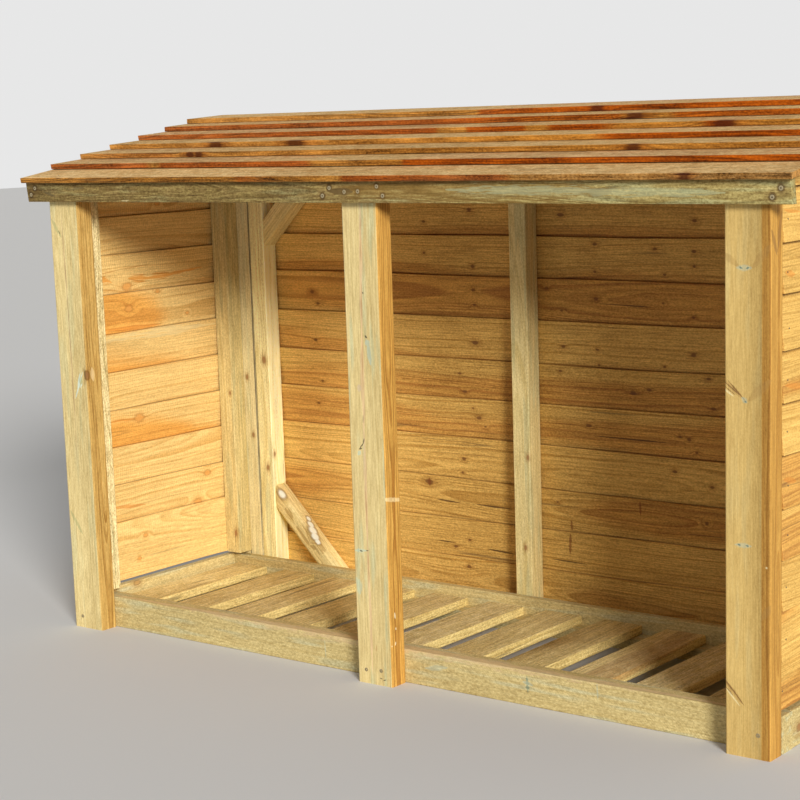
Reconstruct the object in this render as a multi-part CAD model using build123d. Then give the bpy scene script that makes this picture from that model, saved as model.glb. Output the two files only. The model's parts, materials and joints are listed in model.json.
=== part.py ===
from build123d import *
from math import atan, cos, sin, sqrt
import os

# Two-bay timber log store, open at the front, under a single-pitch roof of lapped boards.
# The origin is on the ground, in the middle of the roof's plan. +Y is the back, +Z is up.

# Plan of the frame
length_over_posts = 1886.0
front_post_width = 94.0
front_post_depth = 47.0
rear_post_width = 94.0
rear_post_depth = 47.0
rear_post_inset = 12.0
wall_run = 523.0

# Height and fall of the plane that the roof boards bear on
eaves_height = 1082.0
roof_slope = 0.2

# Framing timbers
batten_width = 47.0
batten_depth = 47.0
stud_width = 47.0
brace_width = 47.0
rafter_width = 47.0
rafter_depth = 47.0
top_rail_height = 47.0
bottom_rail_height = 47.0
post_easing = 4.0
timber_easing = 2.5

# Base frame and slatted floor
base_height = 75.0
front_rail_thickness = 44.0
side_rail_thickness = 22.0
back_rail_thickness = 22.0
ledger_width = 38.0
slat_count = 11
slat_width = 104.0
slat_thickness = 22.0
first_slat_gap = 11.0
last_slat_gap = 92.0
slat_drop = 23.0
slat_easing = 4.0

# Boarding: tapered boards, thick edge down, each lapping over the one below
board_width = 138.0
board_butt = 12.0
board_thin = 6.0
cladding_zone = 20.0
side_wall_lift = 10.0
left_first_board_width = 145.0
left_board_pitch = 94.6
right_board_pitch = 98.0
right_board_drop = 4.0
back_board_pitch = 99.0
back_first_board_width = 118.0
back_board_lift = 14.0
lap_clearance = 0.3
joint_gap = 2.5

# Corner braces of the back frame, measured along the stud
top_brace_leg = 260.0
bottom_brace_leg = 226.0

# Fascia and roof boards
fascia_thickness = 18.0
fascia_height = 47.0
fascia_overhang = 50.0
fascia_left_skew = 7.0
fascia_right_skew = 4.0
roof_overhang = 57.0
roof_drip = 14.0
roof_board_count = 7
roof_board_width = 140.0
roof_butt = 12.0
roof_thin = 6.5
roof_pitch = 99.4
roof_last_pitch = 84.0

# Levels and lines worked out from the sizes above
roof_angle = atan(roof_slope)
roof_starts = [roof_pitch * i for i in range(roof_board_count - 1)]
roof_starts.append(roof_starts[-1] + roof_last_pitch)
roof_run = roof_starts[-1] + roof_board_width
roof_plan_depth = roof_run * cos(roof_angle) + roof_butt * sin(roof_angle)
roof_front = -roof_plan_depth / 2 + roof_butt * sin(roof_angle)
roof_length = length_over_posts + 2 * roof_overhang
half_length = length_over_posts / 2
front_face = roof_front + roof_drip + fascia_thickness
frame_front = front_face + front_post_depth
frame_back = frame_front + wall_run
rear_face = frame_back + rear_post_depth
wall_inner = half_length - cladding_zone
batten_inner = wall_inner - batten_width
rail_inner = half_length - side_rail_thickness
floor_front = frame_front + front_rail_thickness
floor_back = frame_back - back_rail_thickness
wall_foot = base_height + side_wall_lift
slat_top = base_height - slat_drop
ledger_height = slat_top - slat_thickness
slat_run = 2 * rail_inner - first_slat_gap - last_slat_gap
slat_pitch = (slat_run - slat_width) / (slat_count - 1)
rear_post_inner = half_length - rear_post_inset - rear_post_width
stud_outer = rear_post_inner - joint_gap
stud_inner = stud_outer - stud_width


def roof_height(y):
    """Height of the plane under the roof boards."""
    return eaves_height + roof_slope * (y - front_face)


def block(x0, x1, y0, y1, z0, z1):
    """Square-edged timber between two corners."""
    return Pos(x0, y0, z0) * Box(x1 - x0, y1 - y0, z1 - z0, align=(Align.MIN,) * 3)


def eased(timber, axis, radius):
    """Round the long edges of a timber that runs along an axis."""
    return fillet(timber.edges().filter_by(axis), radius)


def under_plane(drop):
    """The space under the roof plane lowered by drop, as one large solid."""
    reach = 2 * roof_plan_depth
    top_front = roof_height(-reach) - drop
    top_back = roof_height(reach) - drop
    outline = Polygon((-reach, 0), (reach, 0), (reach, top_back), (-reach, top_front), align=None)
    return Pos(-roof_length, 0, 0) * extrude(Plane.YZ * outline, 2 * roof_length, dir=(1, 0, 0))


def lapped_profiles(starts, ends, butt, thin):
    """Outlines of lapped tapered boards: s runs up the surface, n is the height over it."""
    outlines = []
    lift = 0.0
    for i, (start, end) in enumerate(zip(starts, ends)):
        if i:
            low, top = starts[i - 1], ends[i - 1]
            run = (start - low) / (top - low)
            at_butt = (lift + butt) * (1 - run) + thin * run + lap_clearance
            at_edge = (thin + lap_clearance) * (end - start) / (end - top)
            lift = max(at_butt, at_edge)
        outlines.append([(start, lift), (end, 0.0), (end, thin), (start, lift + butt)])
    return outlines


def board_levels(first_start, first_end, pitch, top):
    """Lower and upper edges of a wall's boards, up to the level where the roof covers them."""
    starts, ends = [first_start], [first_end]
    while ends[-1] < top:
        ends.append(ends[-1] + pitch)
        starts.append(ends[-1] - board_width)
    return starts, ends


def beam_along_x(outline, x0, x1):
    """Extrude an outline of (y, z) points from x0 to x1."""
    face = Plane.YZ.offset(x0) * Polygon(*outline, align=None)
    return extrude(face, x1 - x0, dir=(1, 0, 0))


def beam_along_y(outline, y0, y1):
    """Extrude an outline of (x, z) points from y0 to y1."""
    face = Plane.XZ.offset(-y0) * Polygon(*outline, align=None)
    return extrude(face, y1 - y0, dir=(0, 1, 0))


def mirrored(piece):
    return mirror(piece, about=Plane.YZ)


under_roof = under_plane(0)
under_rafters = under_plane(rafter_depth / cos(roof_angle))


def front_post(centre):
    half = front_post_width / 2
    tall = roof_height(frame_front)
    post = block(centre - half, centre + half, front_face, frame_front, 0, tall)
    return eased(post, Axis.Z, post_easing) & under_roof


def rear_post():
    outer = rear_post_inner + rear_post_width
    post = block(rear_post_inner, outer, frame_back, rear_face, 0, roof_height(rear_face))
    return eased(post, Axis.Z, post_easing) & under_roof


def side_batten(y0):
    batten = block(batten_inner, wall_inner, y0, y0 + batten_depth, wall_foot, roof_height(rear_face))
    return eased(batten, Axis.Z, timber_easing) & under_rafters


def side_boards(foot, first_width, pitch):
    starts, ends = board_levels(foot, foot + first_width, pitch, roof_height(frame_back))
    boards = []
    for outline in lapped_profiles(starts, ends, board_butt, board_thin):
        section = [(wall_inner + n, s) for s, n in outline]
        boards.append(beam_along_y(section, frame_front, frame_back) & under_roof)
    return boards


def back_boards():
    starts, ends = board_levels(back_board_lift, back_board_lift + back_first_board_width,
                                back_board_pitch, roof_height(rear_face))
    reach = half_length - rear_post_inset
    boards = []
    for outline in lapped_profiles(starts, ends, board_butt, board_thin):
        section = [(rear_face + n, s) for s, n in outline]
        boards.append(beam_along_x(section, -reach, reach) & under_roof)
    return boards


def rafter(x0, x1):
    drop = rafter_depth / cos(roof_angle)
    front, back = roof_height(frame_front), roof_height(frame_back)
    outline = [(frame_front, front - drop), (frame_back, back - drop), (frame_back, back),
               (frame_front, front)]
    return beam_along_x(outline, x0, x1)


def side_rail():
    return block(rail_inner, half_length, floor_front, frame_back, 0, base_height)


def floor_slat(index):
    left = -rail_inner + first_slat_gap + index * slat_pitch
    slat = block(left, left + slat_width, floor_front, floor_back, ledger_height, slat_top)
    return eased(slat, Axis.Y, slat_easing)


# Back frame between the rear posts
top_rail_under = roof_height(frame_back) - top_rail_height


def back_stud(x0):
    stud = block(x0, x0 + stud_width, frame_back, rear_face, bottom_rail_height, top_rail_under)
    return eased(stud, Axis.Z, timber_easing)


def corner_brace(corner_level, leg, upward):
    """Brace at 45 degrees between the right-hand end stud and a rail of the back frame."""
    cut = brace_width * sqrt(2)
    outline = []
    for along, up in ((0, leg), (0, leg - cut), (leg - cut, 0), (leg, 0)):
        outline.append((stud_inner - along, corner_level + upward * up))
    return beam_along_y(outline, frame_back, rear_face)


def roof_board(outline):
    section = []
    for s, n in outline:
        y = roof_front + s * cos(roof_angle) - n * sin(roof_angle)
        z = roof_height(roof_front) + s * sin(roof_angle) + n * cos(roof_angle)
        section.append((y, z))
    return beam_along_x(section, -roof_length / 2, roof_length / 2)


nodes = {}

# Base
front_rail = block(-half_length, half_length, frame_front, floor_front, 0, base_height)
nodes["base_front_rail"] = [eased(front_rail, Axis.X, timber_easing)]
nodes["base_right_rail"] = [eased(side_rail(), Axis.Y, timber_easing)]
nodes["base_left_rail"] = [mirrored(nodes["base_right_rail"][0])]
back_rail = block(-rail_inner, rail_inner, floor_back, frame_back, 0, base_height)
nodes["base_back_rail"] = [eased(back_rail, Axis.X, timber_easing)]
nodes["floor_ledger_front"] = [block(-rail_inner, rail_inner, floor_front,
                                     floor_front + ledger_width, 0, ledger_height)]
nodes["floor_ledger_back"] = [block(-rail_inner, rail_inner, floor_back - ledger_width,
                                    floor_back, 0, ledger_height)]
middle_slat = slat_count // 2
nodes["floor_slats_left_bay"] = [floor_slat(i) for i in range(middle_slat)]
nodes["floor_slat_middle"] = [floor_slat(middle_slat)]
nodes["floor_slats_right_bay"] = [floor_slat(i) for i in range(middle_slat + 1, slat_count)]

# Posts
post_offset = half_length - front_post_width / 2
nodes["front_post_left"] = [front_post(-post_offset)]
nodes["front_post_middle"] = [front_post(0)]
nodes["front_post_right"] = [front_post(post_offset)]
nodes["rear_post_right"] = [rear_post()]
nodes["rear_post_left"] = [mirrored(nodes["rear_post_right"][0])]

# Side walls
nodes["right_front_batten"] = [side_batten(frame_front)]
nodes["right_rear_batten"] = [side_batten(frame_back - batten_depth)]
nodes["right_rafter"] = [rafter(wall_inner - rafter_width, wall_inner)]
for part_name in ("front_batten", "rear_batten", "rafter"):
    nodes["left_" + part_name] = [mirrored(nodes["right_" + part_name][0])]
nodes["right_side_boards"] = side_boards(wall_foot - right_board_drop, board_width,
                                         right_board_pitch)
left_boards = side_boards(wall_foot, left_first_board_width, left_board_pitch)
nodes["left_side_boards"] = [mirrored(board) for board in left_boards]
nodes["middle_rafter"] = [rafter(-rafter_width / 2, rafter_width / 2)]

# Back wall
bottom_rail = block(-rear_post_inner, rear_post_inner, frame_back, rear_face, 0, bottom_rail_height)
nodes["back_bottom_rail"] = [eased(bottom_rail, Axis.X, timber_easing)]
top_rail = block(-rear_post_inner, rear_post_inner, frame_back, rear_face, top_rail_under,
                 roof_height(rear_face))
nodes["back_top_rail"] = [top_rail & under_roof]
nodes["back_stud_right"] = [back_stud(stud_inner)]
nodes["back_stud_left"] = [mirrored(nodes["back_stud_right"][0])]
nodes["back_stud_middle"] = [back_stud(-stud_width / 2)]
nodes["top_brace_right"] = [corner_brace(top_rail_under, top_brace_leg, -1)]
nodes["bottom_brace_right"] = [corner_brace(bottom_rail_height, bottom_brace_leg, 1)]
nodes["top_brace_left"] = [mirrored(nodes["top_brace_right"][0])]
nodes["bottom_brace_left"] = [mirrored(nodes["bottom_brace_right"][0])]
nodes["back_boards"] = back_boards()

# Roof
fascia_reach = half_length + fascia_overhang
fascia_front = front_face - fascia_thickness
fascia_foot = roof_height(fascia_front) - fascia_height
fascia_top = roof_height(front_face)
fascia_outline = [(-fascia_reach, fascia_foot), (fascia_reach, fascia_foot),
                  (fascia_reach - fascia_right_skew, fascia_top),
                  (-fascia_reach - fascia_left_skew, fascia_top)]
nodes["fascia"] = [beam_along_y(fascia_outline, fascia_front, front_face) & under_roof]
roof_ends = [start + roof_board_width for start in roof_starts]
for number, outline in enumerate(lapped_profiles(roof_starts, roof_ends, roof_butt, roof_thin), 1):
    nodes["roof_board_%d" % number] = [roof_board(outline)]

os.makedirs("parts", exist_ok=True)
for name, pieces in nodes.items():
    solids = [solid for piece in pieces for solid in piece.solids()]
    shape = solids[0] if len(solids) == 1 else Compound(children=solids)
    export_step(shape, "parts/%s.step" % name)
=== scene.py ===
"""Finishes, fixings and a plain stage for the timber log store."""
import json
import math
import random
from functools import partial

import bpy
from mathutils import Matrix, Vector

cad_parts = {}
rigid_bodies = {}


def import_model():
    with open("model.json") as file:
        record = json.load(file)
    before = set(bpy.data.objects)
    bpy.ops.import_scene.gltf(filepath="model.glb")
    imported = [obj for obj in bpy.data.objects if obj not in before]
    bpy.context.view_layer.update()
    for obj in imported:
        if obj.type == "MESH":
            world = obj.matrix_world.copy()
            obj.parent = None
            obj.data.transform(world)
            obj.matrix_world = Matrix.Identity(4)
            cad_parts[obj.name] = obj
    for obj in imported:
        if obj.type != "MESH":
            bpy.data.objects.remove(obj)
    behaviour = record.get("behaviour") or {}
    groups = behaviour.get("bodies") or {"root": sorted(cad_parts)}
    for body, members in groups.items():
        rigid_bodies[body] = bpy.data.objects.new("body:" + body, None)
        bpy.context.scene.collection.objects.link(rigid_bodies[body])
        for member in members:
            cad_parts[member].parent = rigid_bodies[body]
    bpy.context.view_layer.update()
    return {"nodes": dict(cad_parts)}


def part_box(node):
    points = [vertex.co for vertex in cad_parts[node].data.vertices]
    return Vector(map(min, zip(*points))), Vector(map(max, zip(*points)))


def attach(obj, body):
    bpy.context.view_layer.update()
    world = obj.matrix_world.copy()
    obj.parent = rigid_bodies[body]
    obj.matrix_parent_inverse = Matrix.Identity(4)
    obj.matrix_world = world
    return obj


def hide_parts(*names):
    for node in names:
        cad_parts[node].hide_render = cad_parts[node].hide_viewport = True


bl_info = {
    "name": "Log Store",
    "version": (1, 0, 0),
    "blender": (4, 5, 0),
    "location": "View3D > Sidebar > Log Store",
    "description": "Finishes a timber log store: sawn boards, posts, slats, screws and a plain "
                   "stage",
    "category": "Object",
}

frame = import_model()
NODES = frame["nodes"]
ROOF_FALL = math.atan(0.2)
# Where the faces that look to the front stand on Y.
POST_FACE = -.320
RAIL_FACE = -.2733
FRAME_FACE = .250
# How far apart along the grain the woods of neighbouring boards, slats and bays are taken.
BOARD_SHIFT, SLAT_SHIFT, BAY_SHIFT = 3.1, 1.3, 20
FASCIA_SHIFT = 5.7
SMOOTH_ANGLE = math.radians(32)
BEVEL_ANGLE = math.radians(40)
# A face looks within about 25, 35 or 45 degrees of a direction.
STRAIGHT, MOSTLY, ROUGHLY = .9, .8, .7
ROOF_BOARDS = ["roof_board_%d" % number for number in range(1, 8)]
HEAD_DEPTH = .002

# Knots of a wall's boards: (board, along the wall, height, radius in mm). Boards count from 0.
BACK_KNOTS = (
    (7, -.674, .772, 5), (7, -.658, .742, 4), (6, -.670, .649, 4), (5, -.652, .544, 3),
    (4, -.665, .486, 3), (9, -.171, .982, 5), (9, -.310, .953, 4), (8, -.310, .878, 3),
    (8, -.167, .847, 4), (7, -.164, .792, 4), (7, -.164, .756, 3), (6, -.164, .665, 5),
    (5, -.211, .588, 3), (5, -.200, .544, 4), (4, -.173, .506, 3), (4, -.157, .483, 5),
    (4, -.140, .462, 3), (3, -.206, .378, 4), (3, -.213, .343, 3), (2, -.312, .312, 7),
    (1, -.238, .155, 4), (1, -.194, .177, 3), (0, -.196, .111, 4), (9, .087, .972, 6),
    (8, .181, .907, 4), (8, .338, .898, 4), (9, .437, .961, 4), (8, .437, .894, 4),
    (8, .436, .861, 3), (8, .360, .841, 3), (8, .177, .844, 3), (7, .181, .782, 4),
    (7, .085, .751, 3), (7, .047, .803, 3), (7, .357, .777, 3), (7, .433, .748, 4),
    (6, .089, .668, 4), (6, .182, .665, 3), (6, .433, .664, 5), (5, .082, .611, 3),
    (6, .184, .630, 3), (6, .358, .635, 3), (5, .277, .571, 6), (5, .319, .581, 4),
    (5, .473, .615, 4), (5, .482, .548, 4), (4, .157, .487, 5), (4, .398, .479, 3),
    (4, .421, .474, 4), (4, .439, .446, 3), (3, .385, .398, 4), (3, .479, .370, 4),
    (2, .466, .287, 4), (2, .067, .298, 3),
)
LEFT_KNOTS = (
    (7, -.098, .812, 9), (6, -.099, .758, 8), (6, .000, .793, 5), (6, .106, .728, 4),
    (3, -.086, .484, 10), (1, .145, .306, 7), (0, -.089, .185, 5), (0, -.114, .130, 4),
    (1, .110, .234, 9), (9, .020, 1.01, 6),
)
RIGHT_KNOTS = (
    (2, -.150, .300, 8), (5, .120, .560, 6), (8, -.180, .890, 7), (9, .060, .980, 5),
)

# Marks of a wall's boards: colour, strength, fray, and for each line the board, where it starts
# and ends along the wall and in height, and its radius in mm.
BACK_MARKS = (
    ((.07, .03, .01), .85, 1.2, (
        (2, -.294, .270, -.222, .267, 2.2), (2, -.172, .268, -.066, .267, 2.4),
        (1, -.295, .166, -.238, .165, 1.8), (1, -.142, .160, -.061, .156, 2.2),
        (4, .168, .464, .374, .462, 1.8), (1, .048, .157, .145, .155, 2.0),
        (7, .190, .771, .326, .768, 1.5))),
    ((.20, .055, .012), .7, 1.5, (
        (2, .103, .256, .103, .232, 3.5), (1, .103, .225, .099, .175, 4.5),
        (2, .294, .322, .294, .288, 3.0), (2, -.312, .322, -.312, .302, 4.0))),
)
LEFT_MARKS = (
    ((.74, .27, .022), .7, 4.5, (
        (7, -.092, .833, -.020, .827, 8), (7, -.030, .828, .060, .830, 7),
        (7, .040, .831, .165, .840, 4), (7, -.205, .840, -.148, .826, 7))),
    ((.66, .24, .035), .6, 2.4, (
        (1, -.190, .272, -.080, .262, 6), (0, -.060, .248, .000, .243, 4),
        (3, -.190, .486, -.100, .484, 4), (6, -.180, .712, .010, .708, 6))),
    ((.46, .17, .022), .6, 1.2, (
        (7, -.092, .842, -.020, .834, 1.3), (7, -.030, .834, .050, .837, 1.2),
        (7, -.095, .830, -.030, .819, 1.2), (7, -.205, .848, -.120, .856, 1.4),
        (7, -.120, .856, -.020, .862, 1.2), (7, -.190, .812, -.130, .806, 1.2),
        (7, -.080, .802, -.040, .800, 1.2), (6, -.190, .786, -.130, .784, 1.1))),
    ((.86, .68, .32), .55, 7.0, (
        (5, -.210, .690, .200, .690, 9),)),
)
RIGHT_MARKS = (
    ((.66, .24, .035), .55, 2.2, (
        (9, -.262, 1.018, -.200, 1.010, 5), (8, -.262, .905, -.225, .900, 6),
        (6, -.262, .700, -.190, .690, 7), (4, -.262, .525, -.215, .515, 6))),
)


def colour(name, description, default):
    return bpy.props.FloatVectorProperty(name=name, description=description, default=default,
                                         size=3, min=0, max=1, subtype="COLOR")


def length(name, description, default):
    return bpy.props.FloatProperty(name=name, description=description, default=default,
                                   min=0, unit="LENGTH")


# Names and descriptions of the settings that several timbers have.
SAP_PALE = "Pale sapwood", "Spring growth of the sapwood"
SAP_DARK = "Dark sapwood", "Summer growth of the sapwood"
HEART_PALE = "Pale heartwood", "Spring growth of the heartwood"
HEART_DARK = "Dark heartwood", "Summer growth of the heartwood"
PRESERVATIVE = "Preservative", "Stain left by the preservative"
RINGS = "Ring spacing", "Width of one year's growth"
WANDER = "Wander", "How far a sawn edge leaves the straight"
EASING = "Easing", "Bevel on the sawn edges"


class LogStorePosts(bpy.types.PropertyGroup):
    """Posts, planed with rounded corners."""
    sap_pale: colour(*SAP_PALE, (.72, .555, .245))
    sap_dark: colour(*SAP_DARK, (.58, .42, .145))
    heart_pale: colour(*HEART_PALE, (.66, .36, .075))
    heart_dark: colour(*HEART_DARK, (.33, .125, .016))
    tint: colour(*PRESERVATIVE, (.52, .53, .30))
    pitch: length(*RINGS, .0036)


class LogStoreFrame(bpy.types.PropertyGroup):
    """Battens, studs, rafters and braces."""
    sap_pale: colour(*SAP_PALE, (.78, .62, .27))
    sap_dark: colour(*SAP_DARK, (.64, .48, .17))
    heart_pale: colour(*HEART_PALE, (.68, .42, .14))
    heart_dark: colour(*HEART_DARK, (.42, .20, .05))
    tint: colour(*PRESERVATIVE, (.42, .44, .24))
    pitch: length(*RINGS, .005)
    station: length("Station spacing", "Spacing of the cross-sections along a brace", .05)
    worn_edge: length("Worn edge", "Bevel on the upper edge of the lower braces", .010)
    sawn_edge: length("Sawn edge", "Bevel on the lower edge of the upper braces", .003)
    easing: length("Easing", "Bevel on the braces' other edges", .001)


class LogStoreBase(bpy.types.PropertyGroup):
    """Rails and ledgers under the floor."""
    sap_pale: colour(*SAP_PALE, (.59, .455, .19))
    sap_dark: colour(*SAP_DARK, (.47, .34, .12))
    heart_pale: colour(*HEART_PALE, (.58, .36, .12))
    heart_dark: colour(*HEART_DARK, (.36, .18, .05))
    tint: colour(*PRESERVATIVE, (.46, .50, .34))
    pitch: length(*RINGS, .006)


class LogStoreSlats(bpy.types.PropertyGroup):
    """Floor slats."""
    sap_pale: colour(*SAP_PALE, (.78, .59, .22))
    sap_dark: colour(*SAP_DARK, (.62, .44, .14))
    heart_pale: colour(*HEART_PALE, (.56, .36, .12))
    heart_dark: colour(*HEART_DARK, (.38, .20, .06))
    weathered: colour("Weathered", "Greyed upper faces", (.62, .49, .25))
    pitch: length(*RINGS, .006)
    station: length("Station spacing", "Spacing of the cross-sections along a slat", .12)
    wander: length(*WANDER, .0008)
    easing: length(*EASING, .0008)


class LogStoreWalls(bpy.types.PropertyGroup):
    """Lapped boards of the side walls and the back."""
    sap_pale: colour(*SAP_PALE, (.75, .455, .118))
    sap_dark: colour(*SAP_DARK, (.50, .26, .05))
    heart_pale: colour(*HEART_PALE, (.66, .345, .075))
    heart_dark: colour(*HEART_DARK, (.40, .16, .03))
    pitch: length(*RINGS, .0055)
    station: length("Station spacing", "Spacing of the cross-sections along a board", .13)
    wander: length(*WANDER, .0011)
    easing: length(*EASING, .0007)


class LogStoreRoof(bpy.types.PropertyGroup):
    """Lapped roof boards."""
    sap_pale: colour(*SAP_PALE, (.52, .215, .030))
    sap_dark: colour(*SAP_DARK, (.17, .07, .012))
    heart_pale: colour(*HEART_PALE, (.43, .090, .003))
    heart_dark: colour(*HEART_DARK, (.10, .020, .002))
    weathered: colour("Weathered", "Bleached upper faces", (.80, .575, .265))
    pitch: length(*RINGS, .0045)
    butt: length("Front edge", "Thickness of a board's front edge", .012)
    station: length("Station spacing", "Spacing of the cross-sections along a board", .05)
    wander: length(*WANDER, .0008)
    easing: length(*EASING, .0009)


class LogStoreFascia(bpy.types.PropertyGroup):
    """Fascia board under the front edge of the roof."""
    sap_pale: colour(*SAP_PALE, (.34, .25, .078))
    sap_dark: colour(*SAP_DARK, (.16, .105, .024))
    heart_pale: colour(*HEART_PALE, (.33, .205, .062))
    heart_dark: colour(*HEART_DARK, (.15, .085, .02))
    weathered: colour("Weathered", "Greyed face", (.19, .115, .034))
    tint: colour(*PRESERVATIVE, (.37, .36, .16))
    pitch: length(*RINGS, .003)
    # Ring is the radius of the painted shade round a screw.
    ring: length("Screw ring", "Radius of the dark wood round a screw", .0068)
    station: length("Station spacing", "Spacing of the cross-sections along the board", .2)
    easing: length("Easing", "Bevel on the edges", .0012)


class LogStoreFixings(bpy.types.PropertyGroup):
    """Screws and nails."""
    screw_head: length("Screw head", "Diameter of a screw's head", .0088)
    nail_head: length("Nail head", "Diameter of a nail's head", .0036)
    proud: length("Proud", "How far a head stands over the timber", .0005)
    steel: colour("Steel", "Plated steel of the screws", (.70, .57, .34))
    dull: colour("Dull steel", "Galvanised steel of the nails", (.32, .24, .15))


class LogStoreStage(bpy.types.PropertyGroup):
    """Camera, lamps and floor."""
    heading: bpy.props.FloatProperty(
        name="Heading", description="Turn of the camera about the vertical",
        default=math.radians(37.289), subtype="ANGLE")
    tilt: bpy.props.FloatProperty(
        name="Tilt", description="How far the camera looks down",
        default=math.radians(10.155), subtype="ANGLE")
    roll: bpy.props.FloatProperty(
        name="Roll", description="Turn of the camera about its line of sight",
        default=math.radians(-1.682), subtype="ANGLE")
    place: bpy.props.FloatVectorProperty(
        name="Place", description="Where the camera stands",
        default=(2.519, -3.384, 1.195), subtype="TRANSLATION", unit="LENGTH")
    lens: bpy.props.FloatProperty(
        name="Lens", description="Focal length in mm", default=85.8)
    sensor: bpy.props.FloatProperty(
        name="Sensor", description="Width of the sensor in mm", default=36)
    shift: bpy.props.FloatVectorProperty(
        name="Shift", description="Shift of the lens, as a share of the picture",
        default=(-0.0472, 0.0765), size=2)
    floor_reach: length("Floor reach", "Half the floor's side", 30.0)
    floor_colour: colour("Floor colour", "Colour of the floor", (.66, .65, .63))
    key_power: bpy.props.FloatProperty(
        name="Key power", description="Strength of the key lamp", default=3.6)
    key_place: bpy.props.FloatVectorProperty(
        name="Key place", description="Where the light of the key lamp comes from",
        default=(4.8, -3.6, 2.2), subtype="TRANSLATION", unit="LENGTH")
    key_spread: bpy.props.FloatProperty(
        name="Key spread", description="How wide the key lamp looks from the part",
        default=math.radians(15), subtype="ANGLE")
    sky: bpy.props.FloatProperty(
        name="Sky", description="Strength of the plain world", default=.34)
    backdrop: colour("Backdrop", "What the camera sees behind the floor", (.80, .80, .80))


class Wiring:
    """Adds nodes to one tree and joins them up."""

    def __init__(self, tree):
        self.tree = tree

    def node(self, kind, **settings):
        node = self.tree.nodes.new("ShaderNode" + kind)
        for key, value in settings.items():
            setattr(node, key, value)
        return node

    def put(self, socket, value):
        if isinstance(value, bpy.types.NodeSocket):
            self.tree.links.new(value, socket)
        elif value is not None:
            socket.default_value = value

    def math(self, operation, a, b=None, c=None):
        node = self.node("Math", operation=operation)
        for socket, value in zip(node.inputs, (a, b, c)):
            self.put(socket, value)
        return node.outputs[0]

    def plus(self, a, b):
        return self.math("ADD", a, b)

    def minus(self, a, b):
        return self.math("SUBTRACT", a, b)

    def times(self, a, b):
        return self.math("MULTIPLY", a, b)

    def over(self, a, b):
        return self.math("DIVIDE", a, b)

    def scale_add(self, a, factor, more):
        """A value times a factor, and more added."""
        return self.math("MULTIPLY_ADD", a, factor, more)

    def vector(self, operation, a, b=None):
        node = self.node("VectorMath", operation=operation)
        self.put(node.inputs[0], a)
        self.put(node.inputs[1], b)
        single = operation in ("LENGTH", "DISTANCE", "DOT_PRODUCT")
        return node.outputs["Value" if single else "Vector"]

    def scaled(self, vector, amount):
        node = self.node("VectorMath", operation="SCALE")
        self.put(node.inputs[0], vector)
        self.put(node.inputs["Scale"], amount)
        return node.outputs[0]

    def step(self, value, low, high, start=0.0, end=1.0):
        """Smooth step of a value from low to high, or back where high is below low."""
        if high < low:
            low, high, start, end = high, low, end, start
        node = self.node("MapRange", interpolation_type="SMOOTHSTEP")
        for label, given in (("Value", value), ("From Min", low), ("From Max", high),
                             ("To Min", start), ("To Max", end)):
            self.put(node.inputs[label], given)
        return node.outputs["Result"]

    def split(self, vector):
        node = self.node("SeparateXYZ")
        self.put(node.inputs[0], vector)
        return node.outputs

    def stretched(self, vector, x, across, shift=0.0):
        """A vector scaled along the grain by x and across it by across."""
        node = self.node("Mapping", vector_type="POINT")
        self.put(node.inputs["Vector"], vector)
        self.put(node.inputs["Scale"], (x, across, across))
        self.put(node.inputs["Location"], (shift, shift, shift))
        return node.outputs[0]

    def noise(self, vector, detail, roughness=.5):
        node = self.node("TexNoise")
        for label, given in (("Vector", vector), ("Scale", 1.0), ("Detail", detail),
                             ("Roughness", roughness)):
            self.put(node.inputs[label], given)
        return node.outputs[0]

    def line_noise(self, value, detail):
        """Noise along one number: its outputs."""
        node = self.node("TexNoise", noise_dimensions="1D")
        for label, given in (("W", value), ("Scale", 1.0), ("Detail", detail)):
            self.put(node.inputs[label], given)
        return node.outputs

    def blend(self, factor, a, b, how="MIX"):
        node = self.node("Mix", data_type="RGBA", blend_type=how, clamp_factor=True)
        self.put(node.inputs[0], factor)
        self.put(node.inputs[6], a)
        self.put(node.inputs[7], b)
        return node.outputs[2]

    def group(self, tree, **values):
        node = self.node("Group", node_tree=tree)
        for label, value in values.items():
            self.put(node.inputs[label.replace("_", " ").capitalize()], value)
        return node.outputs


def shader_group(name, inputs, outputs):
    """A new node group with named sockets, its wiring, its given sockets and its result node."""
    tree = bpy.data.node_groups.new(name, "ShaderNodeTree")
    for label, kind, default in inputs:
        socket = tree.interface.new_socket(name=label, in_out="INPUT",
                                           socket_type="NodeSocket" + kind)
        if kind == "Color":
            socket.default_value = (*default, 1)
        elif default is not None:
            socket.default_value = default
    for label, kind in outputs:
        tree.interface.new_socket(name=label, in_out="OUTPUT", socket_type="NodeSocket" + kind)
    given = tree.nodes.new("NodeGroupInput").outputs
    result = tree.nodes.new("NodeGroupOutput").inputs
    return Wiring(tree), given, result


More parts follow.
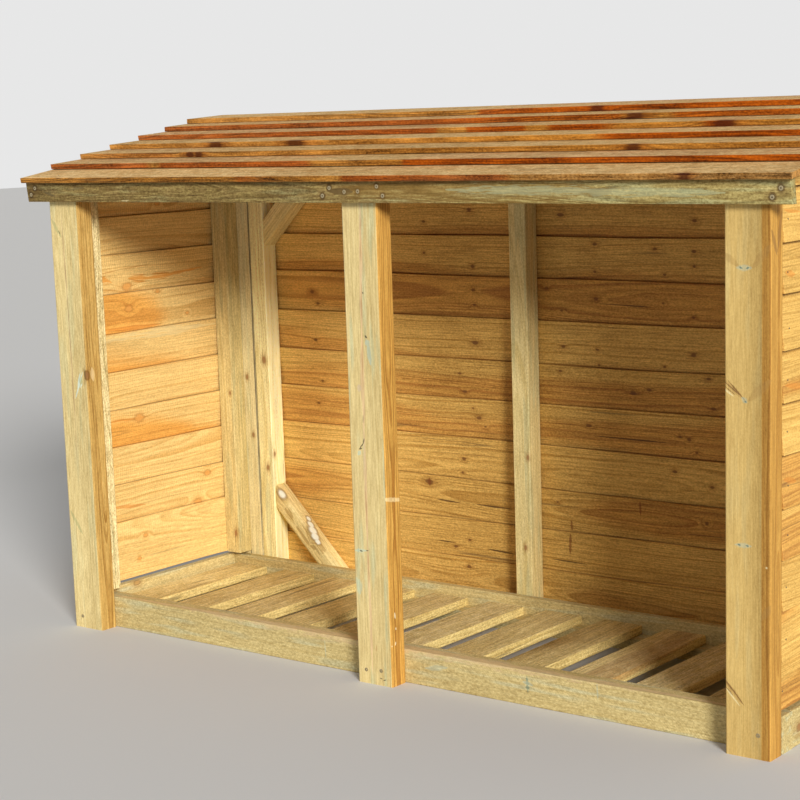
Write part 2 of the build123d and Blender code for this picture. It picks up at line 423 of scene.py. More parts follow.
def growth_rings():
    """Rings of a log whose pith wanders along the grain, pushed out round knots."""
    wiring, given, result = shader_group(
        "growth rings",
        (("Grain", "Vector", None), ("Near", "Float", 9.0), ("Patch", "Float", .5),
         ("Pitch", "Float", .005), ("Wander", "Float", .02), ("Swirl", "Float", .004)),
        (("Late", "Float"), ("Radius", "Float")))
    grain = given["Grain"]
    swing = wiring.line_noise(wiring.times(wiring.split(grain)[0], .9), 1.5)
    drift = wiring.vector("SUBTRACT", swing["Color"], (.5, .5, .5))
    drift = wiring.scaled(drift, wiring.times(given["Wander"], 2.5))
    across = wiring.vector("MULTIPLY", wiring.vector("ADD", grain, drift), (0, 1, 1))
    radius = wiring.scale_add(given["Patch"], .012, wiring.vector("LENGTH", across))
    swirl = wiring.step(given["Near"], 4.0, .5)
    radius = wiring.scale_add(swirl, given["Swirl"], radius)
    ring = wiring.over(radius, given["Pitch"])
    years = wiring.line_noise(wiring.times(ring, .4), 0.0)
    ring = wiring.scale_add(years[0], 2.2, ring)
    part = wiring.math("FRACT", ring)
    late = wiring.times(wiring.step(part, .20, .88), wiring.step(part, 1.0, .92))
    year = wiring.node("TexWhiteNoise", noise_dimensions="1D")
    wiring.put(year.inputs["W"], wiring.math("FLOOR", ring))
    strength = wiring.scale_add(year.outputs["Value"], .7, .3)
    wiring.put(result["Late"], wiring.times(late, strength))
    wiring.put(result["Radius"], radius)
    return wiring.tree


def knot_marks():
    """Core, rim and halo of the nearest knot, with edges frayed by the fibres."""
    wiring, given, result = shader_group(
        "knot marks", (("Near", "Float", 9.0), ("Fibre", "Float", .5), ("Fray", "Float", 1.5)),
        (("Core", "Float"), ("Rim", "Float"), ("Halo", "Float")))
    near = wiring.scale_add(wiring.minus(given["Fibre"], .5), given["Fray"], given["Near"])
    wiring.put(result["Core"], wiring.step(near, 1.2, .6))
    wiring.put(result["Rim"], wiring.times(wiring.step(near, 1.5, 1.05),
                                           wiring.step(near, .6, .95)))
    wiring.put(result["Halo"], wiring.step(near, 3.4, .8))
    return wiring.tree


def sawn_surface():
    """Fibres, fuzz, saw marks, drying cracks and uneven tone of a sawn face."""
    wiring, given, result = shader_group(
        "sawn surface", (("Grain", "Vector", None), ("Slant", "Float", 0.0),
                         ("Fibre run", "Float", 9.0)),
        (("Fibre", "Float"), ("Fuzz", "Float"), ("Mottle", "Float"), ("Saw", "Float"),
         ("Crack", "Float"), ("Patch", "Float"), ("Stain", "Float")))
    grain = given["Grain"]
    x, y, z = wiring.split(grain)
    run = wiring.node("CombineXYZ")
    for socket, value in zip(run.inputs, (wiring.times(x, given["Fibre run"]),
                                          wiring.times(y, 230),
                                          wiring.times(z, 230))):
        wiring.put(socket, value)
    wiring.put(result["Fibre"], wiring.noise(run.outputs[0], 2, .65))
    wiring.put(result["Fuzz"], wiring.noise(wiring.stretched(grain, 170, 300), 2, .7))
    wiring.put(result["Mottle"], wiring.noise(wiring.stretched(grain, 42, 60, 4.2), 2, .75))
    patch = wiring.noise(wiring.stretched(grain, 2.6, 13, 2.3), 2, .55)
    wiring.put(result["Patch"], patch)
    stain = wiring.noise(wiring.stretched(grain, 5.5, 60, 9.1), 1)
    slant = wiring.scale_add(wiring.plus(y, z), given["Slant"], x)
    phase = wiring.scale_add(slant, 950, wiring.times(stain, 14))
    wiring.put(result["Saw"], wiring.times(wiring.math("SINE", phase),
                                           wiring.step(patch, .46, .58)))
    thread = wiring.noise(wiring.stretched(grain, 1.1, 55), 0)
    thread = wiring.math("ABSOLUTE", wiring.minus(thread, .5))
    where = wiring.step(wiring.noise(wiring.stretched(grain, 3.1, 17, 7.7), 0), .66, .74)
    wiring.put(result["Crack"], wiring.times(wiring.step(thread, .020, .006), where))
    wiring.put(result["Stain"], wiring.step(stain, .50, .68))
    return wiring.tree


def timber(rings, knots, sawn):
    """Colour, roughness and height of sawn softwood."""
    wiring, given, result = shader_group(
        "timber",
        (("Grain", "Vector", None), ("Near", "Float", 9.0), ("Tone", "Vector", None),
         ("Lap", "Float", 1.0), ("Pitch", "Float", .005), ("Wander", "Float", .02),
         ("Heart", "Float", .05), ("Soft edge", "Float", .003), ("Swirl", "Float", .004),
         ("Sap pale", "Color", (.7, .6, .3)), ("Sap dark", "Color", (.6, .4, .2)),
         ("Heart pale", "Color", (.6, .4, .2)), ("Heart dark", "Color", (.4, .2, .1)),
         ("Knot", "Color", (.34, .15, .05)), ("Rimmed", "Float", .4),
         ("Knot fray", "Float", 1.5), ("Seam", "Float", .66),
         ("Tint", "Color", (.5, .5, .4)), ("Stained", "Float", 0.0),
         ("Weathered", "Color", (.4, .3, .2)),
         ("Contrast", "Float", 1.0), ("Heart lines", "Float", .8), ("Streaks", "Float", .5),
         ("Fibre run", "Float", 9.0), ("Speckle", "Float", .3), ("Worn", "Float", .0),
         ("Saw marks", "Float", .0), ("Slant", "Float", .0),
         ("Cracked", "Float", .5), ("Bruise", "Float", .3), ("Rough", "Float", .5)),
        (("Color", "Color"), ("Roughness", "Float"), ("Height", "Float"), ("Fibre", "Float")))
    grain, near = given["Grain"], given["Near"]
    face = wiring.group(sawn, grain=grain, slant=given["Slant"], fibre_run=given["Fibre run"])
    ring = wiring.group(rings, grain=grain, near=near, patch=face["Patch"],
                        pitch=given["Pitch"], wander=given["Wander"], swirl=given["Swirl"])
    knot = wiring.group(knots, near=near, fibre=face["Fibre"], fray=given["Knot fray"])
    value, heart, weather = wiring.split(given["Tone"])
    late = wiring.times(ring["Late"], given["Contrast"])
    late = wiring.times(late, wiring.step(face["Patch"], .36, .60, .6, 1.0))
    sap = wiring.blend(late, given["Sap pale"], given["Sap dark"])
    core = wiring.blend(wiring.times(ring["Late"], given["Heart lines"]),
                        given["Heart pale"], given["Heart dark"])
    ragged = wiring.times(wiring.minus(face["Patch"], .5), wiring.times(given["Wander"], 2.4))
    reach = wiring.scale_add(heart, .12, given["Heart"])
    depth = wiring.minus(reach, wiring.plus(ragged, ring["Radius"]))
    inside = wiring.node("MapRange", interpolation_type="SMOOTHSTEP")
    wiring.put(inside.inputs["Value"], depth)
    wiring.put(inside.inputs["From Min"], wiring.times(given["Soft edge"], -1))
    wiring.put(inside.inputs["From Max"], given["Soft edge"])
    stain = wiring.times(face["Stain"], given["Stained"])
    sap = wiring.blend(stain, sap, given["Tint"])
    wood = wiring.blend(inside.outputs["Result"], sap, core)
    grey = wiring.times(weather, wiring.step(face["Fibre"], .3, .7, 1.0, .6))
    worn = wiring.times(wiring.step(face["Mottle"], .60, .38), given["Worn"])
    grey = wiring.times(grey, wiring.minus(1.0, worn))
    wood = wiring.blend(grey, wood, wiring.blend(
        wiring.times(late, .5), given["Weathered"],
        wiring.blend(1.0, given["Weathered"], (.62, .55, .46, 1), "MULTIPLY")))
    wood = wiring.blend(wiring.times(knot["Halo"], .25), wood, core)
    bruise = wiring.times(knot["Halo"], given["Bruise"])
    wood = wiring.blend(bruise, wood, wiring.blend(1.0, wood, (.50, .38, .30, 1), "MULTIPLY"))
    light = wiring.scale_add(face["Patch"], .40, .80)
    light = wiring.plus(light, value)
    for part, amount in (("Fibre", "Streaks"), ("Fuzz", "Speckle")):
        swing = wiring.minus(face[part], .5)
        light = wiring.scale_add(swing, given[amount], light)
    light = wiring.scale_add(face["Saw"], given["Saw marks"], light)
    swing = wiring.times(wiring.minus(face["Mottle"], .5), wiring.times(weather, given["Worn"]))
    light = wiring.scale_add(swing, 2.2, light)
    tone = wiring.node("CombineXYZ")
    for socket, power in zip(tone.inputs, (1.0, 1.15, 1.45)):
        wiring.put(socket, wiring.math("POWER", light, power))
    wood = wiring.blend(1.0, wood, tone.outputs[0], "MULTIPLY")
    wood = wiring.blend(wiring.times(knot["Core"], .8), wood, given["Knot"])
    dark = wiring.blend(1.0, given["Heart dark"], (.6, .55, .5, 1), "MULTIPLY")
    wood = wiring.blend(wiring.times(knot["Rim"], given["Rimmed"]), wood, dark)
    # Painted shade: a thin dark line in the crease along each lap, where one board covers the
    # next.
    seam = wiring.times(wiring.step(given["Lap"], .0040, .0006), given["Seam"])
    wood = wiring.blend(seam, wood, wiring.blend(1.0, wood, (.20, .15, .12, 1), "MULTIPLY"))
    crack = wiring.times(face["Crack"], given["Cracked"])
    wiring.put(result["Color"], wiring.blend(crack, wood, (.07, .04, .02, 1)))
    rough = wiring.scale_add(face["Fibre"], .2, .62)
    rough = wiring.scale_add(weather, .08, rough)
    wiring.put(result["Roughness"], wiring.scale_add(late, -.08, rough))
    height = wiring.times(wiring.plus(face["Fibre"], face["Fuzz"]), given["Rough"])
    wiring.put(result["Height"], height)
    wiring.put(result["Fibre"], face["Fibre"])
    return wiring.tree


def timber_tree():
    """The timber group, made the first time that it is asked for."""
    tree = bpy.data.node_groups.get("timber")
    return tree or timber(growth_rings(), knot_marks(), sawn_surface())


def knot_field(name, places, squeeze):
    """Distance to the nearest knot, in that knot's radii. Squeeze is its reach each way."""
    wiring, given, result = shader_group(name, (("Grain", "Vector", None),), (("Near", "Float"),))
    point = wiring.vector("MULTIPLY", given["Grain"], tuple(squeeze))
    near = None
    for place, radius in places:
        apart = wiring.vector("DISTANCE", point, tuple(Vector(place) * squeeze))
        apart = wiring.over(apart, radius)
        near = wiring.math("MINIMUM", near, apart) if near else apart
    wiring.put(result["Near"], near)
    return wiring.tree


def mark_field(name, lines, squeeze):
    """How strongly a point lies on the nearest of some lines, each thinner to its ends."""
    wiring, given, result = shader_group(
        name, (("Grain", "Vector", None), ("Fibre", "Float", .5), ("Fray", "Float", 1.0)),
        (("Mark", "Float"),))
    point = wiring.vector("MULTIPLY", given["Grain"], tuple(squeeze))
    near = None
    for start, end, radius in lines:
        start, end = Vector(start) * squeeze, Vector(end) * squeeze
        line = end - start
        apart = wiring.vector("SUBTRACT", point, tuple(start))
        part = wiring.over(wiring.vector("DOT_PRODUCT", apart, tuple(line)), line.length_squared)
        part.node.use_clamp = True
        apart = wiring.vector("DISTANCE", apart, wiring.scaled(tuple(line), part))
        bow = wiring.scale_add(part, 2, -1)
        thick = wiring.scale_add(wiring.times(bow, bow), -.8 * radius, radius)
        apart = wiring.over(apart, thick)
        near = wiring.math("MINIMUM", near, apart) if near else apart
    fray = wiring.times(wiring.minus(given["Fibre"], .5), given["Fray"])
    wiring.put(result["Mark"], wiring.step(wiring.plus(near, fray), 1.25, .6))
    return wiring.tree


def new_material(name):
    """A new material, with its wiring and its shader."""
    material = bpy.data.materials.new(name)
    material.use_nodes = True
    return material, Wiring(material.node_tree), material.node_tree.nodes["Principled BSDF"]


def wood_material(name, grain, colours, knots=(), squeeze=(.62, 1, 1), tone=(0, 0, 0),
                  marks=(), lap=None, gloss=.25, **values):
    """Sawn softwood. Grain is a function that gives the wiring's grain socket.

    Knots are places in the log with a radius, and squeeze is how far each way they reach.
    Marks are groups of lines: colour, strength, fray and the lines.
    """
    material, wiring, shader = new_material(name)
    vector = grain(wiring)
    for key in ("sap_pale", "sap_dark", "heart_pale", "heart_dark", "tint", "weathered"):
        if hasattr(colours, key):
            values.setdefault(key, (*getattr(colours, key), 1))
    values.setdefault("pitch", colours.pitch)
    if knots:
        values["near"] = wiring.group(knot_field(name + " knots", knots, Vector(squeeze)),
                                      grain=vector)["Near"]
    if lap:
        values["lap"] = wiring.node("Attribute", attribute_name=lap).outputs["Fac"]
    values["tone"] = tone(wiring) if callable(tone) else tone
    look = wiring.group(timber_tree(), grain=vector, **values)
    wood = look["Color"]
    flat = Vector((1, 1, 0 if squeeze[2] == 0 else 1))
    shade = wiring.plus(look["Fibre"], .5)
    for number, (stain, strength, fray, lines) in enumerate(marks):
        tree = mark_field("%s marks %d" % (name, number + 1), lines, flat)
        mark = wiring.group(tree, grain=vector, fibre=look["Fibre"], fray=fray)["Mark"]
        wood = wiring.blend(wiring.times(mark, strength), wood, wiring.scaled(stain, shade))
    bump = wiring.node("Bump")
    bump.inputs["Strength"].default_value = 1.0
    bump.inputs["Distance"].default_value = .001
    wiring.put(bump.inputs["Height"], look["Height"])
    wiring.put(shader.inputs["Normal"], bump.outputs[0])
    wiring.put(shader.inputs["Base Color"], wood)
    wiring.put(shader.inputs["Roughness"], look["Roughness"])
    shader.inputs["Specular IOR Level"].default_value = gloss
    return material


def attribute_socket(name):
    def socket(wiring):
        return wiring.node("Attribute", attribute_name=name).outputs["Vector"]
    return socket


GRAIN = attribute_socket("grain")
TONE = attribute_socket("tone")
# Turns that bring the length of a timber to X.
TURNS = {"X": (0, 0, 0), "Y": (0, 0, -math.pi / 2), "Z": (0, math.pi / 2, 0)}


def log_matrix(run, pith, shift):
    """Takes a point of the part to the log that the timber was sawn from."""
    turn = Matrix.Identity(4)
    for axis, angle in zip("XYZ", TURNS[run]):
        turn = Matrix.Rotation(angle, 4, axis) @ turn
    place = turn @ Vector(pith)
    return Matrix.Translation((shift, -place.y, -place.z)) @ turn


def rightward_tone(heart=(0, 1, 0, 0), value=(0, 1, 0, 0), lift=(0, 1, 0, 0)):
    """Tone by how far to the right a point lies: (from, to, start amount, end amount).

    Heart is heartwood, and value and lift add up to the brightness.
    """
    def tone(wiring):
        x = wiring.split(wiring.node("TexCoord").outputs["Object"])[0]
        amounts = wiring.node("CombineXYZ")
        light = wiring.plus(wiring.step(x, *value), wiring.step(x, *lift))
        wiring.put(amounts.inputs[0], light)
        wiring.put(amounts.inputs[1], wiring.step(x, *heart))
        return amounts.outputs[0]
    return tone


def on_face(y, *lines):
    """Lines on a face that looks to the front: x and height of both ends, radius in mm."""
    return [((x, y, z), (end_x, y, end_z), radius / 1000) for x, z, end_x, end_z, radius in lines]


def in_log(origin, lines):
    """Lines on a board's face, taken to its log: place and height of both ends, radius in mm."""
    return [((at - origin.x, height - origin.y, 0), (end - origin.x, end_height - origin.y, 0),
             radius / 1000) for at, height, end, end_height, radius in lines]


def moved(marks, into):
    """Marks with both ends of each line taken through a function."""
    return [(stain, strength, fray,
             [(into(start), into(end), radius) for start, end, radius in lines])
            for stain, strength, fray, lines in marks]


def dress(node, colours, run, pith, shift, knots=(), marks=(), **values):
    """Gives a CAD node its own wood, sawn from a log whose pith passes near a point."""
    into_log = log_matrix(run, pith, shift)

    def grain(wiring):
        mapping = wiring.node("Mapping", vector_type="POINT")
        wiring.put(mapping.inputs["Vector"], wiring.node("TexCoord").outputs["Object"])
        wiring.put(mapping.inputs["Rotation"], TURNS[run])
        wiring.put(mapping.inputs["Location"], tuple(into_log.translation))
        return mapping.outputs[0]

    places = [(into_log @ Vector(place), radius) for place, radius in knots]
    marks = moved(marks, lambda place: into_log @ Vector(place))
    material = wood_material(node + " wood", grain, colours, places, marks=marks, **values)
    materials = NODES[node].data.materials
    materials.clear()
    materials.append(material)


def mode(name):
    """Puts the active piece in edit or object mode."""
    bpy.ops.object.mode_set(mode=name)


def only(piece):
    """Selects one piece and makes it active."""
    bpy.ops.object.select_all(action="DESELECT")
    piece.select_set(True)
    bpy.context.view_layer.objects.active = piece


def smooth(piece):
    """Smooths a piece's surface across its gentle edges."""
    only(piece)
    bpy.ops.object.shade_smooth_by_angle(angle=SMOOTH_ANGLE)


def loose_copies(node, along, spacing):
    """A CAD node's solids as objects of their own, with cross-sections along their length."""
    mesh = NODES[node].data.copy()
    mesh.materials.clear()
    copy = bpy.data.objects.new(node + "_copy", mesh)
    bpy.context.scene.collection.objects.link(copy)
    only(copy)
    mode("EDIT")
    bpy.ops.mesh.select_all(action="SELECT")
    bpy.ops.mesh.remove_doubles(threshold=1e-5)
    bpy.ops.mesh.dissolve_limited(angle_limit=math.radians(1))
    low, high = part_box(node)
    reach = high[along] - low[along]
    count = max(1, round(reach / spacing))
    normal = Vector((0, 0, 0))
    normal[along] = 1
    for i in range(1, count):
        place = low.copy()
        place[along] += reach * i / count
        bpy.ops.mesh.select_all(action="SELECT")
        bpy.ops.mesh.bisect(plane_co=place, plane_no=normal)
    bpy.ops.mesh.select_all(action="SELECT")
    bpy.ops.mesh.separate(type="LOOSE")
    mode("OBJECT")
    return list(bpy.context.selected_objects)


def extent(piece):
    """Lowest and highest corner of a piece."""
    points = [v.co for v in piece.data.vertices]
    return (Vector([min(p[i] for p in points) for i in range(3)]),
            Vector([max(p[i] for p in points) for i in range(3)]))


def pick(piece, chosen):
    """Selects the chosen vertices of a piece that is in edit mode."""
    mode("OBJECT")
    for vertex, wanted in zip(piece.data.vertices, chosen):
        vertex.select = wanted
    mode("EDIT")


def stations_along(piece, along):
    """The vertices of a piece by their place along it."""
    stations = {}
    for vertex in piece.data.vertices:
        stations.setdefault(round(vertex.co[along], 3), []).append(vertex)
    return stations


def wander(piece, along, across, amount, rng):
    """Lets both long edges of a sawn board leave the straight, station by station."""
    only(piece)
    mode("EDIT")
    bpy.ops.mesh.select_mode(type="VERT")
    stations = {place: {vertex.index for vertex in vertices}
                for place, vertices in stations_along(piece, along).items()}
    low, high = extent(piece)
    centre = (low[across] + high[across]) / 2
    for _, members in sorted(stations.items()):
        for upper in (False, True):
            pick(piece, [v.index in members and (v.co[across] > centre) == upper
                         for v in piece.data.vertices])
            offset = [0, 0, 0]
            offset[across] = rng.uniform(-amount, amount)
            bpy.ops.transform.translate(value=offset)
    mode("OBJECT")


def keep_inside(piece, node):
    """Pulls a worked copy back into its CAD node's box."""
    low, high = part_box(node)
    for vertex in piece.data.vertices:
        for i in range(3):
            vertex.co[i] = min(max(vertex.co[i], low[i]), high[i])


def ease(piece, width, segments=1):
    """Bevels the sharp edges and smooths the rest."""
    only(piece)
    bevel = piece.modifiers.new("easing", "BEVEL")
    bevel.width = width
    bevel.segments = segments
    bevel.limit_method = "ANGLE"
    bevel.angle_limit = BEVEL_ANGLE
    bpy.ops.object.modifier_apply(modifier=bevel.name)
    smooth(piece)


def stamp(piece, directions, origin, tone):
    """Writes where each vertex lay in its log, and the tone of each face's corners.

    Tone is a function of a face's centre and normal: brightness, heartwood, weathering.
    """
    mesh = piece.data
    grain = mesh.attributes.new("grain", "FLOAT_VECTOR", "POINT")
    for vertex, item in zip(mesh.vertices, grain.data):
        item.vector = Vector([vertex.co.dot(way) for way in directions]) - origin
    shades = mesh.attributes.new("tone", "FLOAT_VECTOR", "CORNER")
    for face in mesh.polygons:
        for corner in face.loop_indices:
            place = mesh.vertices[mesh.loops[corner].vertex_index].co
            shades.data[corner].vector = tone(place, face.normal)


def joined(pieces, name, material):
    """Pieces joined into one, with one material."""
    only(pieces[0])
    for piece in pieces:
        piece.select_set(True)
    if len(pieces) > 1:
        bpy.ops.object.join()
    whole = bpy.context.view_layer.objects.active
    whole.name = name
    whole.data.name = name
    whole.data.materials.clear()
    whole.data.materials.append(material)
    return whole


def gather(pieces, name, nodes, material):
    """Joins worked copies into one piece that stands for its CAD nodes."""
    whole = joined(pieces, name, material)
    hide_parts(*nodes)
    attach(whole, "root")


def across(stations, x):
    """Value at x between stations of (place, value)."""
    for (start, low), (end, high) in zip(stations, stations[1:]):
        if x <= end:
            return low + (high - low) * max(0, (x - start) / (end - start))
    return stations[-1][1]


def edge_line(board, along, rises, limit):
    """Height of a board's lower or upper edge at each station along it."""
    return [(place, limit(vertex.co.dot(rises) for vertex in vertices))
            for place, vertices in sorted(stations_along(board, along).items())]


def note_laps(board, along, rises, inward, foot_line, top_line, closer=1.0):
    """Writes how far each face's corners lie from the edge of the board that laps them.

    Rises is the way up the boards. The inner faces show above the foot line, the outer
    faces below the top line, and None stands for no lap. The timber paints shade along each
    lap from this distance. Closer shortens the outer distance, which widens that painted
    shade line there.
    """
    mesh = board.data
    laps = mesh.attributes.new("lap", "FLOAT", "CORNER")
    for face in mesh.polygons:
        side = face.normal.dot(inward)
        for corner in face.loop_indices:
            place = mesh.vertices[mesh.loops[corner].vertex_index].co
            apart = 1.0
            if side > ROUGHLY and foot_line:
                apart = place.dot(rises) - across(foot_line, place[along])
            elif side < -ROUGHLY and top_line:
                apart = closer * (across(top_line, place[along]) - place.dot(rises))
            laps.data[corner].value = apart


def board_wall(node, name, settings, along, knots, tones, seed, marks=(),
               shades=((-1, 0), (1, 0)), **values):
    """Lapped boards of one wall, each sawn from its own log.

    Tones gives a board's brightness and its heartwood at stations along it, and shades the
    brightness along all the boards, which can paint light and shade across the wall. A board
    that tones leaves out takes both by chance.
    """
    rng = random.Random(seed)
    boards = loose_copies(node, along, settings.station)
    boards.sort(key=lambda board: extent(board)[0].z)
    ways = [Vector((1, 0, 0)), Vector((0, 0, 1)), Vector((0, 1, 0))]
    if along == 1:
        ways = [ways[2], ways[1], ways[0]]
    places, lines = [], [[] for _ in marks]
    inward = ways[2] * (-1 if sum(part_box(node), Vector()).dot(ways[2]) > 0 else 1)
    for board in boards:
        wander(board, along, 2, settings.wander, rng)
        keep_inside(board, node)
    feet = [edge_line(board, along, ways[1], min) for board in boards] + [None]
    tops = [None] + [edge_line(board, along, ways[1], max) for board in boards]
    for i, board in enumerate(boards):
        low, _ = extent(board)
        ease(board, settings.easing)
        note_laps(board, along, ways[1], inward, tops[i], feet[i + 1], closer=.4)
        pith_up = rng.uniform(-.02, .15)
        pith_in = rng.choice((-1, 1)) * rng.uniform(.018, .07)
        origin = Vector((-BOARD_SHIFT * i, low.z + pith_up, low.dot(ways[2]) + pith_in))
        value, hearts = tones.get(i, (rng.uniform(-.06, .06), (
            (-1, rng.uniform(-.5, .4)), (1, rng.uniform(-.5, .4)))))
        # Faces that look up, the boards' thin top edges, are painted .15 lighter: a painted
        # highlight on the ledges.
        stamp(board, ways, origin, lambda place, normal: (
            value + across(shades, place[along]) + (.15 if normal.z > MOSTLY else 0),
            across(hearts, place[along]), 0))
        places += [((at - origin.x, height - origin.y, 0), radius / 1000)
                   for number, at, height, radius in knots if number == i]
        for group, (_, _, _, drawn) in zip(lines, marks):
            group += in_log(origin, [line for number, *line in drawn if number == i])
    marks = [(*mark[:3], group) for mark, group in zip(marks, lines)]
    material = wood_material(name + " wood", GRAIN, settings, places, (.62, 1, 0), TONE, marks,
                             "lap", **values)
    gather(boards, name, [node], material)


class LOGSTORE_OT_posts(bpy.types.Operator):
    """Give the five posts their wood"""
    bl_idname = "logstore.posts"
    bl_label = "Posts"

    def execute(self, context):
        colours = context.scene.log_store_posts
        front, back = partial(on_face, POST_FACE), partial(on_face, FRAME_FACE)
        planed = {"wander": .006, "heart": .0, "streaks": .80, "fibre_run": 18.0, "speckle": .42,
                  "contrast": .75, "heart_lines": .95, "rough": .3, "cracked": .0,
                  "soft_edge": .0012}
        dress("front_post_left", colours, "Z", (-.834, -.290, 0), .3,
              [((-.8505, -.3185, .6235), .0062)], (
                  ((.50, .33, .17), .45, 1.5, front(
                      (-.903, 1.010, -.8995, .770, 2.6), (-.8995, .790, -.8995, .500, 2.6))),
                  ((.34, .17, .07), .75, 1.6, front(
                      (-.902, .960, -.900, .800, 1.0), (-.900, .820, -.8995, .640, 1.1),
                      (-.8995, .660, -.8997, .505, 1.0), (-.900, .500, -.902, .400, .9))),
                  ((.66, .80, .70), .75, 2.2, front(
                      (-.862, .632, -.893, .566, 2.6), (-.872, .628, -.884, .590, 2.4),
                      (-.866, .606, -.874, .592, 1.8))),
                  ((.40, .40, .17), .55, 3.0, front(
                      (-.938, .990, -.908, .948, 5), (-.936, .288, -.898, .235, 5),
                      (-.872, .600, -.866, .620, 7))),
                  ((.14, .10, .03), .8, 1.5, front(
                      (-.917, .964, -.911, .955, 1.6), (-.858, .640, -.855, .618, 1.2))),
                  ((.84, .62, .30), .6, 1.5, (
                      ((-.8485, -.303, .640), (-.8485, -.301, .608), .007),))),
              tone=rightward_tone((-.8525, -.8505, -.3, 1.0), (-.900, -.885, .04, -.03)),
              stained=.3, swirl=.008, heart_pale=(.60, .375, .105, 1),
              heart_dark=(.33, .16, .026, 1), knot=(.22, .09, .025, 1), rimmed=.8,
              knot_fray=.5, **{**planed, "wander": .02, "speckle": .6, "streaks": 1.0})
        dress("front_post_middle", colours, "Z", (.075, -.297, 0), 4.7, (), (
            ((.78, .50, .29), .5, 2.5, front(
                (.004, 1.03, -.0038, .760, 4.5), (-.0036, .780, -.0078, .540, 4.8),
                (-.0072, .560, -.0085, .300, 4.6), (-.0082, .320, -.007, .02, 4.4))),
            ((.50, .24, .07), .6, 3.5, front(
                (.004, 1.00, .001, .900, 1.0), (.001, .885, -.002, .790, 1.1),
                (-.002, .770, -.006, .640, .9), (-.0085, .430, -.0085, .345, 1.2),
                (-.0080, .330, -.0075, .190, 1.1), (.0063, .0894, .0057, .074, 1.2))),
            ((.46, .62, .50), .55, 3.2, front(
                (-.018, .510, -.026, .501, 7), (-.044, .2915, -.012, .2945, 4.5),
                (.0076, .747, .0149, .735, 6), (.012, .742, .018, .695, 5))),
            ((.48, .62, .46), .42, 3.6, front(
                (-.044, .232, -.030, .206, 8), (-.040, .214, -.034, .196, 5))),
            ((.09, .07, .035), .9, 1.2, front(
                (-.0074, .538, -.0105, .525, 1.5), (-.010, .527, -.0205, .5155, 1.6),
                (-.014, .5165, -.0225, .5135, 2.2), (.0018, .847, .0040, .843, 1.7),
                (.0045, .7562, .0105, .7510, 2.0), (-.0078, .5903, -.0090, .5690, 1.1),
                (-.031, .2932, -.022, .2918, 1.8), (-.013, .2945, -.006, .2950, 1.2),
                (.012, .0165, .020, .0150, 1.2), (.022, .0120, .030, .0150, 1.3))),
            ((.60, .45, .36), .4, 1.5, front((-.0163, .652, -.0160, .637, 6))),
            ((.90, .68, .33), .7, .9, (((.047, -.360, .4179), (.047, -.235, .3960), .0046),)),
            ((.95, .82, .52), .8, 2.4, (
                ((.0475, -.3055, .163), (.0475, -.3034, .149), .0022),
                ((.0475, -.3030, .1300), (.0475, -.3020, .1235), .0018),
                ((.0475, -.3045, .0985), (.0475, -.3075, .0900), .0022),
                ((.0475, -.3165, .0930), (.0475, -.3195, .0885), .0018)))),
              tone=rightward_tone((.0435, .0455, -.3, 1.0), (-.03, .03, .03, -.02)),
              stained=.55, **planed)
        dress("front_post_right", colours, "Z", (.962, -.290, 0), 9.2, (), (
            ((.42, .24, .07), .5, 1.5, front(
                (.846, .714, .888, .679, 5), (.846, .145, .886, .103, 5))),
            ((.36, .20, .055), .36, .8, front(
                (.944, .718, .898, .677, 9), (.944, .960, .906, .918, 8),
                (.846, .944, .878, .920, 7), (.944, .300, .925, .270, 7))),
            ((.20, .095, .025), .8, 2.4, front(
                (.845, .712, .882, .685, 1.5), (.853, .715, .893, .675, 1.4),
                (.845, .704, .872, .685, 1.2), (.845, .147, .878, .113, 1.5),
                (.849, .146, .890, .099, 1.4), (.845, .136, .868, .114, 1.2))),
            ((.86, .74, .40), .6, 2.0, front(
                (.845, .698, .868, .683, 2.2), (.848, .131, .880, .098, 2.0),
                (.9335, .372, .936, .368, 2))),
            ((.44, .52, .38), .45, 1.5, front(
                (.874, .9175, .904, .9175, 6), (.870, .407, .904, .407, 5),
                (.884, .682, .895, .673, 5))),
            ((.13, .20, .16), .85, 1.8, front(
                (.8795, .9190, .8860, .9160, 2.0), (.8930, .9160, .9000, .9185, 2.0),
                (.8750, .4085, .8820, .4065, 1.8), (.8920, .4075, .8990, .4065, 1.8),
                (.890, .6765, .894, .673, 1.6))),
            ((.22, .11, .035), .5, 2.0, (
                ((.943, -.318, .985), (.943, -.298, .940), .006),
                ((.943, -.278, 1.020), (.943, -.296, .945), .006)))),
              tone=rightward_tone((.905, .938, -.3, .9), (.875, .941, .05, -.28),
                                  (.9408, .9425, .0, .26)),
              stained=.12, **{**planed, "soft_edge": .014, "streaks": .62, "contrast": .6},
              sap_pale=(.62, .415, .135, 1), sap_dark=(.50, .32, .085, 1),
              heart_pale=(.60, .32, .065, 1), heart_dark=(.40, .18, .026, 1))
        rear = {"speckle": .8, "streaks": .8, "fibre_run": 14.0, "cracked": .3}
        dress("rear_post_left", colours, "Z", (-.90, .30, 0), 14.1,
              [((-.866, .250, .548), .004), ((-.852, .250, .396), .0035)],
              # Dark lines down both edges of the rear post: painted shade in the gaps beside the
              # batten and the stud.
              (((.06, .035, .012), .8, .8, back(
                  (-.8375, 1.30, -.8375, -.20, 2.2), (-.8790, 1.30, -.8790, -.20, 2.0))),),
              heart=.03, stained=.3, contrast=.8, tone=(.06, 0, 0), sap_pale=(.80, .66, .33, 1),
              sap_dark=(.68, .53, .22, 1), **rear)
        dress("rear_post_right", colours, "Z", (.93, .31, 0), 18.4,
              [((.87, .297, .62), .007)], heart=.04, stained=.2, contrast=.8, **rear)
        for node in ("front_post_left", "front_post_middle", "front_post_right",
                     "rear_post_left", "rear_post_right"):
            smooth(NODES[node])
        return {"FINISHED"}


